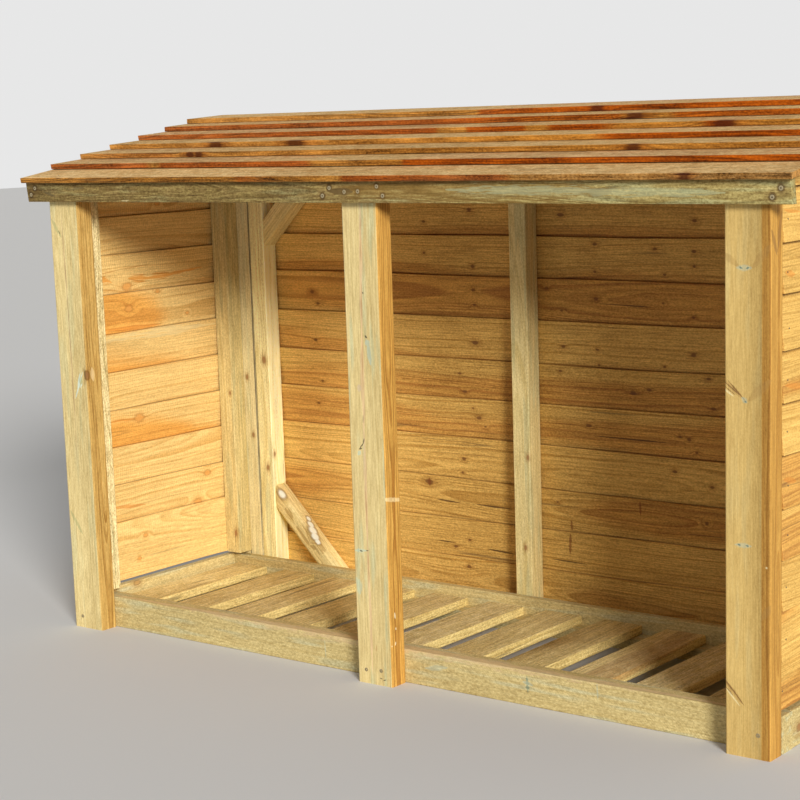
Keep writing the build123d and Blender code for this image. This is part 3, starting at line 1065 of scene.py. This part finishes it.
class LOGSTORE_OT_base(bpy.types.Operator):
    """Give the base rails and ledgers their wood"""
    bl_idname = "logstore.base"
    bl_label = "Base"

    def execute(self, context):
        colours = context.scene.log_store_base
        common = {"contrast": .7, "speckle": 1.3, "stained": .35, "streaks": .5,
                  "fibre_run": 30.0, "rough": .9, "cracked": .3}
        dress("base_front_rail", colours, "X", (0, -.235, -.02), 2.2, (), (
            ((.14, .21, .14), .7, 3.2, on_face(RAIL_FACE, (.364, .063, .366, .030, 4.0))),
            ((.76, .54, .29), .6, 3.0, (((-.860, -.262, .0755), (.860, -.262, .0755), .015),)),
            ((.45, .50, .36), .5, 2.0, on_face(
                RAIL_FACE, (.354, .050, .378, .046, 6), (.534, .076, .536, .041, 2),
                (-.181, .060, -.179, .020, 2), (.100, .040, .160, .050, 6)))),
              heart=.012, saw_marks=.05, slant=1.0, **common)
        dress("base_right_rail", colours, "Y", (.97, 0, .01), 6.5,
              [((.943, -.20, .035), .008)], heart=.03, **common)
        dress("base_left_rail", colours, "Y", (-.96, 0, .10), 8.9,
              [((-.921, -.13, .070), .006)], heart=.03, tone=(.16, 0, 0),
              knot=(.50, .30, .10, 1), **common)
        for node, pith, shift, heart in (
                ("base_back_rail", (0, .26, -.03), 12.7, .04),
                ("floor_ledger_front", (0, -.2, -.04), 15.3, .03),
                ("floor_ledger_back", (0, .2, -.04), 17.3, .03)):
            dress(node, colours, "X", pith, shift, heart=heart, **common)
        return {"FINISHED"}


class LOGSTORE_OT_frame(bpy.types.Operator):
    """Give the battens, studs, rafters and rails their wood, and work the corner braces"""
    bl_idname = "logstore.frame"
    bl_label = "Frame"

    def execute(self, context):
        colours = context.scene.log_store_frame
        back = partial(on_face, FRAME_FACE)
        upright = {
            "left_front_batten": ((-.95, -.2, 0), 1.1, ()),
            "left_rear_batten": ((-.86, .17, 0), 3.4, (
                ((-.885, .203, .511), .003), ((-.888, .203, .138), .005))),
            "right_front_batten": ((.95, -.2, 0), 5.9, ()),
            "right_rear_batten": ((.94, .24, 0), 8.3, ()),
            "back_stud_left": ((-.83, .31, 0), 11.7, (
                ((-.803, .250, .596), .006), ((-.788, .258, .349), .004),
                ((-.806, .250, .313), .005))),
            "back_stud_middle": ((-.02, .31, 0), 13.9, (
                ((.018, .250, .408), .004), ((.007, .250, .190), .004))),
            "back_stud_right": ((.85, .30, 0), 16.2, ()),
        }
        common = {"contrast": .9, "speckle": .85, "streaks": .8, "fibre_run": 14.0,
                  "cracked": .35}
        # Paler colours for the left stud, and a lift of its face towards the right: painted
        # sunlight on the stud.
        painted_sunlight = {"sap_pale": (.92, .80, .39, 1), "sap_dark": (.74, .58, .22, 1)}
        own = {"back_stud_left": {
                   **painted_sunlight, "tone": rightward_tone(lift=(-.7905, -.7892, .06, .42)),
                   # A dark line down the stud's left edge: painted shade in the gap beside the
                   # rear post.
                   "marks": (((.05, .03, .01), .9, .6, back(
                       (-.8370, 1.30, -.8370, -.20, 5.0))),)},
               "left_front_batten": {"streaks": 1.5, "fibre_run": 30.0, "speckle": 1.6,
                                     "rough": 1.3, "sap_pale": (.86, .70, .34, 1),
                                     "sap_dark": (.50, .36, .12, 1)},
               "left_rear_batten": {"tone": (-.12, 0, 0)}}
        for node, (pith, shift, knots) in upright.items():
            dress(node, colours, "Z", pith, shift, knots, heart=.03, rimmed=.2, stained=.35,
                  **{**common, **own.get(node, {})})
        for node, run, pith, shift in (("back_bottom_rail", "X", (0, .30, -.02), 20.3),
                                       ("back_top_rail", "X", (0, .30, 1.16), 24.3),
                                       ("left_rafter", "Y", (-.95, 0, 1.02), 28.3),
                                       ("middle_rafter", "Y", (.03, 0, 1.02), 32.3),
                                       ("right_rafter", "Y", (.94, 0, 1.02), 36.3)):
            dress(node, colours, run, pith, shift, heart=.03, **common)

        half = math.sqrt(.5)
        knots = {"bottom_brace_left": (
            ((-.7620, .250, .2475), .0125), ((-.6968, .2775, .1823), .0070),
            ((-.6841, .2700, .1696), .0100), ((-.6717, .2638, .1572), .0120),
            ((-.6587, .2575, .1442), .0110), ((-.6470, .2525, .1325), .0080))}
        rough = {"bottom_brace_left": (
            ((.44, .26, .06), .6, 6.0, back(
                (-.752, .210, -.726, .180, 7), (-.672, .118, -.650, .112, 5))),
            ((.50, .31, .085), .6, 9.0, back(
                (-.712, .168, -.676, .120, 10), (-.646, .122, -.624, .104, 8),
                (-.742, .262, -.728, .236, 5), (-.640, .172, -.622, .140, 5))),
            ((.48, .28, .07), .7, 1.0, back(
                (-.690, .202, -.686, .160, 1.8), (-.686, .162, -.670, .126, 1.8),
                (-.684, .206, -.660, .196, 1.8), (-.662, .196, -.640, .140, 1.8),
                (-.672, .126, -.642, .128, 1.8), (-.776, .266, -.748, .270, 1.6))))}
        for number, node in enumerate(("bottom_brace_left", "bottom_brace_right",
                                       "top_brace_left", "top_brace_right")):
            rng = random.Random(node)
            left, bottom = node.endswith("left"), node.startswith("bottom")
            down = -1 if left == bottom else 1
            ways = [Vector((half, 0, down * half)), Vector((0, 1, 0)),
                    Vector((-down * half, 0, half))]
            brace, = loose_copies(node, 0, colours.station)
            low, high = extent(brace)
            centre = (low + high) / 2
            outward = 1 if bottom else -1
            only(brace)
            mode("EDIT")
            bpy.ops.mesh.select_mode(type="VERT")
            # The front edge that faces the middle of the bay.
            pick(brace, [vertex.co.y < centre.y
                         and (vertex.co - centre).dot(ways[2]) * outward > .015
                         for vertex in brace.data.vertices])
            bpy.ops.mesh.select_mode(type="EDGE")
            bpy.ops.mesh.bevel(offset=colours.worn_edge if bottom else colours.sawn_edge,
                               segments=4, affect="EDGES")
            bpy.ops.mesh.select_all(action="DESELECT")
            mode("OBJECT")
            keep_inside(brace, node)
            ease(brace, colours.easing)
            # The pith lies in the brace, away from that edge.
            origin = Vector((-BOARD_SHIFT * number, centre.y + .02,
                             centre.dot(ways[2]) - outward * rng.uniform(.01, .02)))
            stamp(brace, ways, origin, lambda place, normal: (.18, -.2, .05))
            into_log = Matrix(ways)
            places = [(into_log @ Vector(place) - origin, radius)
                      for place, radius in knots.get(node, ())]
            marks = moved(rough.get(node, ()), lambda place: into_log @ Vector(place) - origin)
            material = wood_material(node + " wood", GRAIN, colours, places, (.75, 1, 1), TONE,
                                     marks, heart=.012, stained=.2, weathered=(.45, .36, .20, 1),
                                     heart_dark=(.40, .21, .03, 1), knot=(.96, 1.0, .87, 1),
                                     knot_fray=.35, rimmed=.55, bruise=.06, swirl=.014,
                                     **common)
            gather([brace], node + "_timber", [node], material)
        for node in (*upright, "back_bottom_rail"):
            smooth(NODES[node])
        return {"FINISHED"}


class LOGSTORE_OT_floor(bpy.types.Operator):
    """Work the floor slats"""
    bl_idname = "logstore.floor"
    bl_label = "Floor slats"

    def execute(self, context):
        settings = context.scene.log_store_slats
        ways = [Vector((0, 1, 0)), Vector((1, 0, 0)), Vector((0, 0, 1))]
        rng = random.Random("slats")
        for node in ("floor_slats_left_bay", "floor_slat_middle", "floor_slats_right_bay"):
            slats = loose_copies(node, 1, settings.station)
            slats.sort(key=lambda slat: extent(slat)[0].x)
            for i, slat in enumerate(slats):
                wander(slat, 1, 0, settings.wander, rng)
                keep_inside(slat, node)
                low, _ = extent(slat)
                ease(slat, settings.easing)
                # The pith lies under or over the slat.
                origin = Vector((-SLAT_SHIFT * i - BAY_SHIFT * len(slats),
                                 low.x + rng.uniform(0, .1),
                                 low.z + rng.choice((-1, 1)) * rng.uniform(.03, .08)))
                value, heart = rng.uniform(-.08, .06), rng.uniform(-.5, .1)
                grey = rng.uniform(.55, .95)
                stamp(slat, ways, origin, lambda place, normal:
                      (value, heart, grey if normal.z > STRAIGHT else .05))
            material = wood_material(node + " wood", GRAIN, settings, (), tone=TONE, heart=.05,
                                     contrast=.9, streaks=1.1, fibre_run=12.0, speckle=1.4,
                                     worn=.42, cracked=.5, rough=1.2)
            gather(slats, node.replace("floor_", "worn_"), [node], material)
        return {"FINISHED"}


class LOGSTORE_OT_side_walls(bpy.types.Operator):
    """Work the lapped boards of both side walls"""
    bl_idname = "logstore.side_walls"
    bl_label = "Side walls"

    def execute(self, context):
        settings = context.scene.log_store_walls
        board_wall("left_side_boards", "left_wall_boards", settings, 1, LEFT_KNOTS, {
            0: (.10, ((-.2, -.6), (.2, -.7))), 1: (.06, ((-.2, -.2), (.0, -.5), (.2, -.4))),
            2: (.05, ((-.2, -.5), (.2, -.4))), 3: (.02, ((-.2, .5), (.0, .2), (.2, -.2))),
            4: (.05, ((-.2, -.1), (.2, -.4))), 5: (.02, ((-.2, .4), (.2, .1))),
            6: (.0, ((-.2, .7), (.0, .4), (.15, -.3))), 7: (.0, ((-.2, -.1), (.2, .3))),
            8: (.0, ((-.2, -.3), (.2, -.1)))}, "left wall", LEFT_MARKS,
            knot=(.76, .35, .08, 1), rimmed=.35, knot_fray=1.2, bruise=.05, contrast=.85,
            heart_lines=.55, cracked=.25, speckle=.8, streaks=.65, fibre_run=12.0,
            saw_marks=.07, soft_edge=.022, swirl=.006, seam=.58,
            # These colours are brighter than the shared wall colours: partly the boards' own
            # tone, partly painted sunlight on the left wall.
            sap_pale=(.82, .56, .20, 1), sap_dark=(.60, .33, .08, 1),
            heart_pale=(.82, .41, .085, 1), heart_dark=(.54, .21, .032, 1))
        board_wall("right_side_boards", "right_wall_boards", settings, 1, RIGHT_KNOTS, {},
                   "right wall", RIGHT_MARKS, knot=(.40, .15, .035, 1), rimmed=.2, bruise=.1,
                   contrast=1.0, cracked=.4, speckle=.8, streaks=.75, fibre_run=12.0,
                   soft_edge=.008, saw_marks=.04, swirl=.010)
        return {"FINISHED"}


class LOGSTORE_OT_back_wall(bpy.types.Operator):
    """Work the lapped boards of the back"""
    bl_idname = "logstore.back_wall"
    bl_label = "Back wall"

    def execute(self, context):
        settings = context.scene.log_store_walls
        board_wall("back_boards", "back_wall_boards", settings, 0, BACK_KNOTS, {
            0: (-.02, ((-1, -.3), (1, -.1))), 1: (.0, ((-1, -.2), (1, .2))),
            2: (-.02, ((-1, .2), (0, -.2), (1, .3))), 3: (.02, ((-1, -.2), (1, -.3))),
            4: (-.03, ((-1, .3), (0, -.2), (1, .4))), 5: (-.05, ((-1, .2), (1, .5))),
            6: (.0, ((-1, .4), (0, -.1), (1, .1))), 7: (-.03, ((-1, .1), (0, .5), (1, .3))),
            8: (-.02, ((-1, .4), (1, .1))), 9: (-.03, ((-1, .2), (1, .4)))},
            # Shades: the left part painted lighter and the rest darker, painted sunlight and
            # painted shade across the back wall.
            "back wall", BACK_MARKS, ((-1, .14), (-.5, .12), (-.25, -.20), (1, -.06)),
            knot=(.15, .055, .015, 1), rimmed=.0, bruise=.3,
            contrast=1.1, heart_lines=.9, cracked=.5, speckle=1.1, streaks=.85, fibre_run=12.0,
            soft_edge=.012, swirl=.004, saw_marks=.02, seam=.5)
        return {"FINISHED"}


# How much heartwood shows along each roof board's front edge: (place, amount).
ROOF_HEARTS = (
    ((-1, .5), (-.83, .5), (-.78, -.25), (-.63, -.25), (-.58, .2), (-.36, .2), (-.3, .9),
     (-.2, .8), (-.15, -.2), (-.06, -.2), (-.02, 1.4), (.38, 1.2), (.46, -.1), (.8, .0),
     (1, -.35)),
    ((-1, .8), (-.7, .8), (-.665, -.4), (-.62, 1.1), (-.5, 1.1), (-.18, .7), (-.13, -.6),
     (.05, -.2), (.09, 1.5), (1, 1.5)),
    ((-1, .5), (-.7, .5), (-.63, .1), (-.55, -.4), (.52, -.4), (.565, .7), (.61, -.4), (1, -.4)),
    ((-1, .1), (-.45, .15), (-.34, -.4), (.20, -.4), (.28, .5), (.42, .8), (.48, 1.5), (1, 1.5)),
    ((-1, 1.4), (-.08, 1.4), (-.04, -.3), (.0, -.3), (.05, 1.4), (.14, 1.4), (.19, -.5),
     (.24, .6), (.38, .6), (.43, -.3), (.60, .2), (.66, 1.2), (.70, -.3), (1, -.3)),
    ((-1, 1.4), (-.07, 1.4), (0, .9), (.36, .9), (.42, -.4), (.47, 1.0), (1, 1.0)),
    ((-1, .0), (-.11, .1), (-.05, 1.5), (1, 1.5)),
)
# Brightness of a roof board's top and front edge and greying of its front edge, from left to
# right: first for the boards that have no line of their own, then for board 1.
ROOF_FADES = {
    0: (((-1, .02), (1, .02)),
        ((-1, -.06), (-.2, .0), (1, .0)),
        ((-1, .14), (-.1, .06), (.1, .0), (1, .0))),
    1: (((-1, .14), (-.3, .12), (-.1, -.04), (.3, .04), (1, .04)),
        ((-1, -.34), (.05, -.30), (.15, -.10), (.40, -.12), (.46, -.38), (1, -.36)),
        ((-1, .06), (.05, .06), (.40, .15), (.46, .32), (1, .32))),
}
# Knots in the roof boards' front edges: (place, radius).
ROOF_KNOTS = {
    1: ((.786, .008),), 3: ((-.629, .008), (-.602, .008), (.564, .010)),
    4: ((-.641, .012), (-.390, .017)), 5: ((.658, .016),), 6: ((.392, .013),),
    7: ((.246, .011),),
}


class LOGSTORE_OT_roof(bpy.types.Operator):
    """Work the lapped roof boards"""
    bl_idname = "logstore.roof"
    bl_label = "Roof boards"

    def execute(self, context):
        settings = context.scene.log_store_roof
        ways = [Vector((1, 0, 0)), Vector((0, math.cos(ROOF_FALL), math.sin(ROOF_FALL))),
                Vector((0, -math.sin(ROOF_FALL), math.cos(ROOF_FALL)))]
        boards, chances = [], []
        for node in ROOF_BOARDS:
            chances.append(random.Random(node.replace("_", " ")))
            board, = loose_copies(node, 0, settings.station)
            wander(board, 0, 1, settings.wander, chances[-1])
            keep_inside(board, node)
            boards.append(board)
        feet = [edge_line(board, 0, ways[1], min) for board in boards] + [None]
        tops = [None] + [edge_line(board, 0, ways[1], max) for board in boards]
        for number, (node, board, rng) in enumerate(zip(ROOF_BOARDS, boards, chances), 1):
            low, high = extent(board)
            ease(board, settings.easing)
            note_laps(board, 0, ways[1], -ways[2], tops[number - 1], feet[number])
            centre = (low + high) / 2
            # The pith lies under or over the board.
            origin = Vector((-BOARD_SHIFT * number,
                             centre.dot(ways[1]) + rng.uniform(-.08, .08),
                             centre.dot(ways[2]) + rng.choice((-1, 1)) * rng.uniform(.03, .08)))
            value = rng.uniform(-.04, .04)
            shades = [(-1 + .0625 * i, rng.uniform(-.34, .20)) for i in range(33)]
            hearts = ROOF_HEARTS[number - 1]
            top, butt_shade, grey = ROOF_FADES.get(number, ROOF_FADES[0])

            def tone(place, normal):
                heart = across(hearts, place.x)
                if normal.z > ROUGHLY:
                    return (value + across(top, place.x) + across(shades, place.x) * .3,
                            heart * .3, .85)
                if normal.y < -ROUGHLY:
                    return (value + across(butt_shade, place.x) + across(shades, place.x),
                            heart, across(grey, place.x))
                return value - .05, heart, .25

            stamp(board, ways, origin, tone)
            butt = Vector((0, low.y, low.z + settings.butt / 2))
            knots = [(Vector((x - origin.x, butt.dot(ways[1]) - origin.y,
                              butt.dot(ways[2]) - origin.z)), radius)
                     for x, radius in ROOF_KNOTS.get(number, ())]
            material = wood_material(node + " wood", GRAIN, settings, knots, (.6, 1, 1), TONE,
                                     (), "lap", .10, knot=(.06, .010, .003, 1), rimmed=.2,
                                     bruise=.3, heart=.05, soft_edge=.03, contrast=1.2,
                                     streaks=1.7, fibre_run=11.0, speckle=1.5, worn=.32,
                                     cracked=.6, rough=1.3)
            gather([board], "lapped_" + node, [node], material)
        return {"FINISHED"}


# Marks are groups of lines: colour, strength, fray, and for each line where it starts and ends,
# along the board and in height, and its radius in mm.
FASCIA_MARKS = (
    ((.26, .145, .028), .5, 4.5, ((-.06, 1.056, .62, 1.054, 25),)),
    ((.50, .56, .33), .38, 4.5, ((.24, 1.058, .62, 1.056, 8), (.50, 1.054, .86, 1.052, 8))),
    ((.13, .08, .025), .85, 1.6, ((-.064, 1.056, .000, 1.054, 8),)),
    ((.62, .50, .26), .8, 6.0, ((-.680, 1.0345, -.655, 1.036, 1.8),
                                (-.668, 1.040, -.662, 1.030, 1.2))),
    ((.10, .08, .04), .5, 2.0, ((-.86, 1.060, -.80, 1.064, 3), (-.94, 1.055, -.90, 1.045, 3))),
)
# Screws along the fascia: (along, height).
FASCIA_SCREWS = (
    (-.968, 1.063), (-.982, 1.048), (-.062, 1.062), (-.081, 1.046), (-.022, 1.054),
    (.014, 1.055), (.064, 1.065), (.079, 1.046), (.971, 1.060), (.954, 1.044),
)


class LOGSTORE_OT_fascia(bpy.types.Operator):
    """Work the fascia board"""
    bl_idname = "logstore.fascia"
    bl_label = "Fascia"

    def execute(self, context):
        settings = context.scene.log_store_fascia
        fascia, = loose_copies("fascia", 0, settings.station)
        keep_inside(fascia, "fascia")
        ease(fascia, settings.easing, 2)
        ways = [Vector((1, 0, 0)), Vector((0, 0, 1)), Vector((0, 1, 0))]
        low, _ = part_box("fascia")
        # The pith lies behind the board.
        origin = Vector((-FASCIA_SHIFT, low.z + .03, low.y + .035))
        grey = ((-1, .9), (-.2, .8), (.05, .95), (.25, .8), (.45, .3), (1, .1))
        shade = ((-1, -.04), (-.1, .06), (.1, .26), (.3, .28), (1, .24))
        stamp(fascia, ways, origin, lambda place, normal: (
            across(shade, place.x), -.5, across(grey, place.x)))
        # Painted shade round the screws, drawn as dark rings made as knots.
        rings = [((x - origin.x, z - origin.y, 0), settings.ring) for x, z in FASCIA_SCREWS]
        marks = [(*mark[:3], in_log(origin, mark[3])) for mark in FASCIA_MARKS]
        # The knot colour and rim give the painted shade round the screws.
        material = wood_material("fascia wood", GRAIN, settings, rings, (1, 1, 0), TONE, marks,
                                 knot=(.045, .03, .015, 1), rimmed=.6, bruise=.2, heart=.03,
                                 swirl=.0, knot_fray=.8, contrast=1.3, heart_lines=1.1,
                                 streaks=1.4, fibre_run=18.0, speckle=2.1, worn=.4, cracked=.7,
                                 stained=.5, rough=1.1)
        gather([fascia], "fascia_board", ["fascia"], material)
        return {"FINISHED"}


# Screws in the posts: (along, height).
POST_SCREWS = {"middle": ((-.024, .030), (.017, .033)), "right": ((.918, .047),),
               "left": ((-.916, .028),)}
# Foot of the lowest board, spacing of the boards, and height of the nails over each board's foot.
SIDE_COURSES = {"left": (.085, .0946, .045), "right": (.081, .098, .040)}
BACK_COURSES = (.0, .099, .045)
# Where the nails of one board stand along it.
SIDE_COLUMNS = (-.250, .226)
BACK_COLUMNS = (-.884, -.811, 0, .811, .884)
ROOF_COLUMNS = (-.8995, 0, .8995)
ROOF_NAIL_IN = .030
NAIL_DRIFT, ROOF_NAIL_DRIFT = .004, .003


def steel_material(name, base, roughness):
    material, wiring, shader = new_material(name)
    place = wiring.node("TexCoord").outputs["Object"]
    mottle = wiring.noise(wiring.stretched(place, 700, 700), 3)
    dark = [channel * .55 for channel in base]
    steel = wiring.blend(mottle, (*dark, 1), (*base, 1))
    # Faces marked as recess are painted near black: painted shade in the hollow star of a screw.
    recess = wiring.node("Attribute", attribute_name="recess").outputs["Fac"]
    wiring.put(shader.inputs["Base Color"], wiring.blend(recess, steel, (.012, .010, .008, 1)))
    wiring.put(shader.inputs["Roughness"],
               wiring.math("MULTIPLY_ADD", mottle, .3, roughness))
    shader.inputs["Metallic"].default_value = 1
    return material


def pick_faces(piece, wanted):
    """Selects the faces of a piece that a function wants, and leaves it in edit mode."""
    mode("EDIT")
    bpy.ops.mesh.select_mode(type="FACE")
    bpy.ops.mesh.select_all(action="DESELECT")
    mode("OBJECT")
    for face in piece.data.polygons:
        face.select = wanted(face)
    mode("EDIT")


def disc(sides, radius, proud):
    """A disc with its top a little over the origin. It is in edit mode, its top picked."""
    bpy.ops.object.select_all(action="DESELECT")
    bpy.ops.mesh.primitive_cylinder_add(vertices=sides, radius=radius, depth=HEAD_DEPTH,
                                        location=(0, 0, proud - HEAD_DEPTH / 2))
    head = bpy.context.object
    bpy.ops.object.transform_apply(location=True, rotation=True, scale=True)
    pick_faces(head, lambda face: face.normal.z > STRAIGHT)
    return head


def screw_head(radius, proud):
    """A countersunk head with a star recess, lying on its back at the origin."""
    head = disc(24, radius, proud)
    # A bevelled rim, and within it the ring that the recess is drawn from.
    bpy.ops.mesh.inset(thickness=radius * .12)
    bpy.ops.transform.translate(value=(0, 0, radius * .05))
    bpy.ops.mesh.inset(thickness=radius * .38)
    mode("OBJECT")
    # Every other stretch of the inner ring is drawn in, which makes the star's six points.
    ring = [v for v in head.data.vertices if v.select]
    for vertex in ring:
        vertex.select = math.cos(6 * math.atan2(vertex.co.y, vertex.co.x)) < -.5
    mode("EDIT")
    bpy.ops.mesh.select_mode(type="VERT")
    bpy.ops.transform.resize(value=(.66, .66, 1), center_override=(0, 0, 0))
    pick_faces(head, lambda face: face.normal.z > STRAIGHT
               and face.center.xy.length < radius * .1)
    bpy.ops.mesh.extrude_region_move(TRANSFORM_OT_translate={"value": (0, 0, -radius * .28)})
    mode("OBJECT")
    # Marks the faces of the sunk star, which the steel paints near black as painted shade.
    recess = head.data.attributes.new("recess", "FLOAT", "FACE")
    for face, item in zip(head.data.polygons, recess.data):
        sunk = face.center.z < proud and face.center.xy.length < radius * .6
        item.value = 1.0 if sunk else 0.0
    return head


def nail_head(radius, proud):
    """A round nail's low domed head."""
    head = disc(16, radius, proud)
    bpy.ops.mesh.inset(thickness=radius * .3)
    bpy.ops.transform.translate(value=(0, 0, radius * .12))
    mode("OBJECT")
    return head


def seat(head, surface, start, way, spin):
    """A copy of a head, seated where a line from start along way meets a surface."""
    hit, place, normal, _ = surface.ray_cast(Vector(start), Vector(way))
    if not hit:
        raise RuntimeError("no timber under the fixing at %s" % (tuple(start),))
    turn = normal.to_track_quat("Z", "Y").to_matrix().to_4x4()
    copy = bpy.data.objects.new(head.name + "_seated", head.data.copy())
    copy.data.transform(Matrix.Translation(place) @ turn @ Matrix.Rotation(spin, 4, "Z"))
    bpy.context.scene.collection.objects.link(copy)
    return copy


class LOGSTORE_OT_fixings(bpy.types.Operator):
    """Seat the screws and nails"""
    bl_idname = "logstore.fixings"
    bl_label = "Fixings"

    def execute(self, context):
        settings = context.scene.log_store_fixings
        objects = bpy.data.objects
        rng = random.Random("fixings")
        screw = screw_head(settings.screw_head / 2, settings.proud)
        nail = nail_head(settings.nail_head / 2, settings.proud)
        steel = steel_material("plated steel", settings.steel, roughness=.28)
        dull = steel_material("galvanised steel", settings.dull, roughness=.45)

        def fix(name, head, material, surface, places, way):
            copies = [seat(head, surface, place, way, rng.uniform(0, 1)) for place in places]
            whole = joined(copies, name, material)
            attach(whole, "root")

        def near(place, drift=NAIL_DRIFT):
            return place + rng.uniform(-drift, drift)

        def levels(foot, pitch, height, count):
            return [foot + pitch * i + height for i in range(count)]

        rearward = (0, 1, 0)
        fix("fascia_screws", screw, steel, objects["fascia_board"],
            [(x, -1, z) for x, z in FASCIA_SCREWS], rearward)
        for side, screws in POST_SCREWS.items():
            fix(side + "_post_screws", screw, steel, NODES["front_post_" + side],
                [(x, -1, z) for x, z in screws], rearward)
        for side, sign in (("left", -1), ("right", 1)):
            places = [(sign * 2, near(y), near(z))
                      for z in levels(*SIDE_COURSES[side], 10) for y in SIDE_COLUMNS]
            fix(side + "_wall_nails", nail, dull, objects[side + "_wall_boards"], places,
                (-sign, 0, 0))
        places = [(near(x), 2, near(z)) for z in levels(*BACK_COURSES, 11) for x in BACK_COLUMNS]
        fix("back_wall_nails", nail, dull, objects["back_wall_boards"], places, (0, -1, 0))
        for number in range(1, 8):
            low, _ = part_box("roof_board_%d" % number)
            places = [(near(x), near(low.y + ROOF_NAIL_IN, ROOF_NAIL_DRIFT), 2)
                      for x in ROOF_COLUMNS]
            fix("roof_nails_%d" % number, nail, dull, objects["lapped_roof_board_%d" % number],
                places, (0, 0, -1))
        for head in (screw, nail):
            bpy.data.objects.remove(head)
        return {"FINISHED"}


def plain_material(name, colour, roughness):
    material, _, shader = new_material(name)
    shader.inputs["Base Color"].default_value = (*colour, 1)
    shader.inputs["Roughness"].default_value = roughness
    return material


def soft_lamp(name, place, angle, strength):
    """A broad, distant lamp whose light comes from a place towards the origin."""
    data = bpy.data.lights.new(name, "SUN")
    data.angle = angle
    data.energy = strength
    lamp = bpy.data.objects.new(name, data)
    lamp.location = place
    lamp.rotation_euler = (-Vector(place)).to_track_quat("-Z", "Y").to_euler()
    bpy.context.scene.collection.objects.link(lamp)


class LOGSTORE_OT_stage(bpy.types.Operator):
    """Set up the camera, the lamps, the world and the floor"""
    bl_idname = "logstore.stage"
    bl_label = "Stage"

    def execute(self, context):
        stage = context.scene.log_store_stage
        data = bpy.data.cameras.new("camera")
        data.lens = stage.lens
        data.sensor_width = stage.sensor
        data.shift_x, data.shift_y = stage.shift
        camera = bpy.data.objects.new("camera", data)
        turn = (Matrix.Rotation(stage.heading, 4, "Z")
                @ Matrix.Rotation(math.pi / 2 - stage.tilt, 4, "X")
                @ Matrix.Rotation(stage.roll, 4, "Z"))
        camera.matrix_world = Matrix.Translation(stage.place) @ turn
        context.scene.collection.objects.link(camera)
        context.scene.camera = camera

        bpy.ops.object.select_all(action="DESELECT")
        bpy.ops.mesh.primitive_plane_add(size=2 * stage.floor_reach)
        floor = context.object
        floor.name = "floor"
        floor.data.materials.append(plain_material("floor", stage.floor_colour, .9))
        world = bpy.data.worlds.new("world")
        world.use_nodes = True
        wiring = Wiring(world.node_tree)
        sky = world.node_tree.nodes["Background"]
        sky.inputs["Color"].default_value = (1, 1, 1, 1)
        sky.inputs["Strength"].default_value = stage.sky
        seen = wiring.node("Background")
        seen.inputs["Color"].default_value = (*stage.backdrop, 1)
        path = wiring.node("LightPath").outputs
        direct = wiring.math("MAXIMUM", wiring.math(
            "MAXIMUM", path["Is Camera Ray"], path["Is Glossy Ray"]), path["Is Transmission Ray"])
        either = wiring.node("MixShader")
        wiring.put(either.inputs[0], direct)
        wiring.put(either.inputs[1], sky.outputs[0])
        wiring.put(either.inputs[2], seen.outputs[0])
        wiring.put(world.node_tree.nodes["World Output"].inputs["Surface"], either.outputs[0])
        context.scene.world = world
        soft_lamp("key", stage.key_place, stage.key_spread, stage.key_power)
        context.scene.view_settings.view_transform = "Standard"
        return {"FINISHED"}


class LOGSTORE_PT_panel(bpy.types.Panel):
    """Lists the pieces of the log store"""
    bl_idname = "LOGSTORE_PT_panel"
    bl_label = "Log Store"
    bl_space_type = "VIEW_3D"
    bl_region_type = "UI"
    bl_category = "Log Store"

    def draw(self, context):
        for operator in OPERATORS:
            self.layout.operator(operator.bl_idname)
        for name in GROUPS:
            box = self.layout.box()
            box.label(text=name.replace("_", " ").capitalize())
            settings = getattr(context.scene, name)
            for key in settings.__annotations__:
                box.prop(settings, key)


GROUPS = {
    "log_store_posts": LogStorePosts,
    "log_store_frame": LogStoreFrame,
    "log_store_base": LogStoreBase,
    "log_store_slats": LogStoreSlats,
    "log_store_walls": LogStoreWalls,
    "log_store_roof": LogStoreRoof,
    "log_store_fascia": LogStoreFascia,
    "log_store_fixings": LogStoreFixings,
    "log_store_stage": LogStoreStage,
}
OPERATORS = (LOGSTORE_OT_stage, LOGSTORE_OT_posts, LOGSTORE_OT_base, LOGSTORE_OT_frame,
             LOGSTORE_OT_floor, LOGSTORE_OT_side_walls, LOGSTORE_OT_back_wall,
             LOGSTORE_OT_roof, LOGSTORE_OT_fascia, LOGSTORE_OT_fixings)
CLASSES = (*GROUPS.values(), *OPERATORS, LOGSTORE_PT_panel)


def register():
    for item in CLASSES:
        bpy.utils.register_class(item)
    for name, group in GROUPS.items():
        setattr(bpy.types.Scene, name, bpy.props.PointerProperty(type=group))


def unregister():
    for name in GROUPS:
        delattr(bpy.types.Scene, name)
    for item in reversed(CLASSES):
        bpy.utils.unregister_class(item)


def main():
    register()
    bpy.ops.logstore.stage()
    bpy.ops.logstore.posts()
    bpy.ops.logstore.base()
    bpy.ops.logstore.frame()
    bpy.ops.logstore.floor()
    bpy.ops.logstore.side_walls()
    bpy.ops.logstore.back_wall()
    bpy.ops.logstore.roof()
    bpy.ops.logstore.fascia()
    bpy.ops.logstore.fixings()


if __name__ == "__main__":
    main()
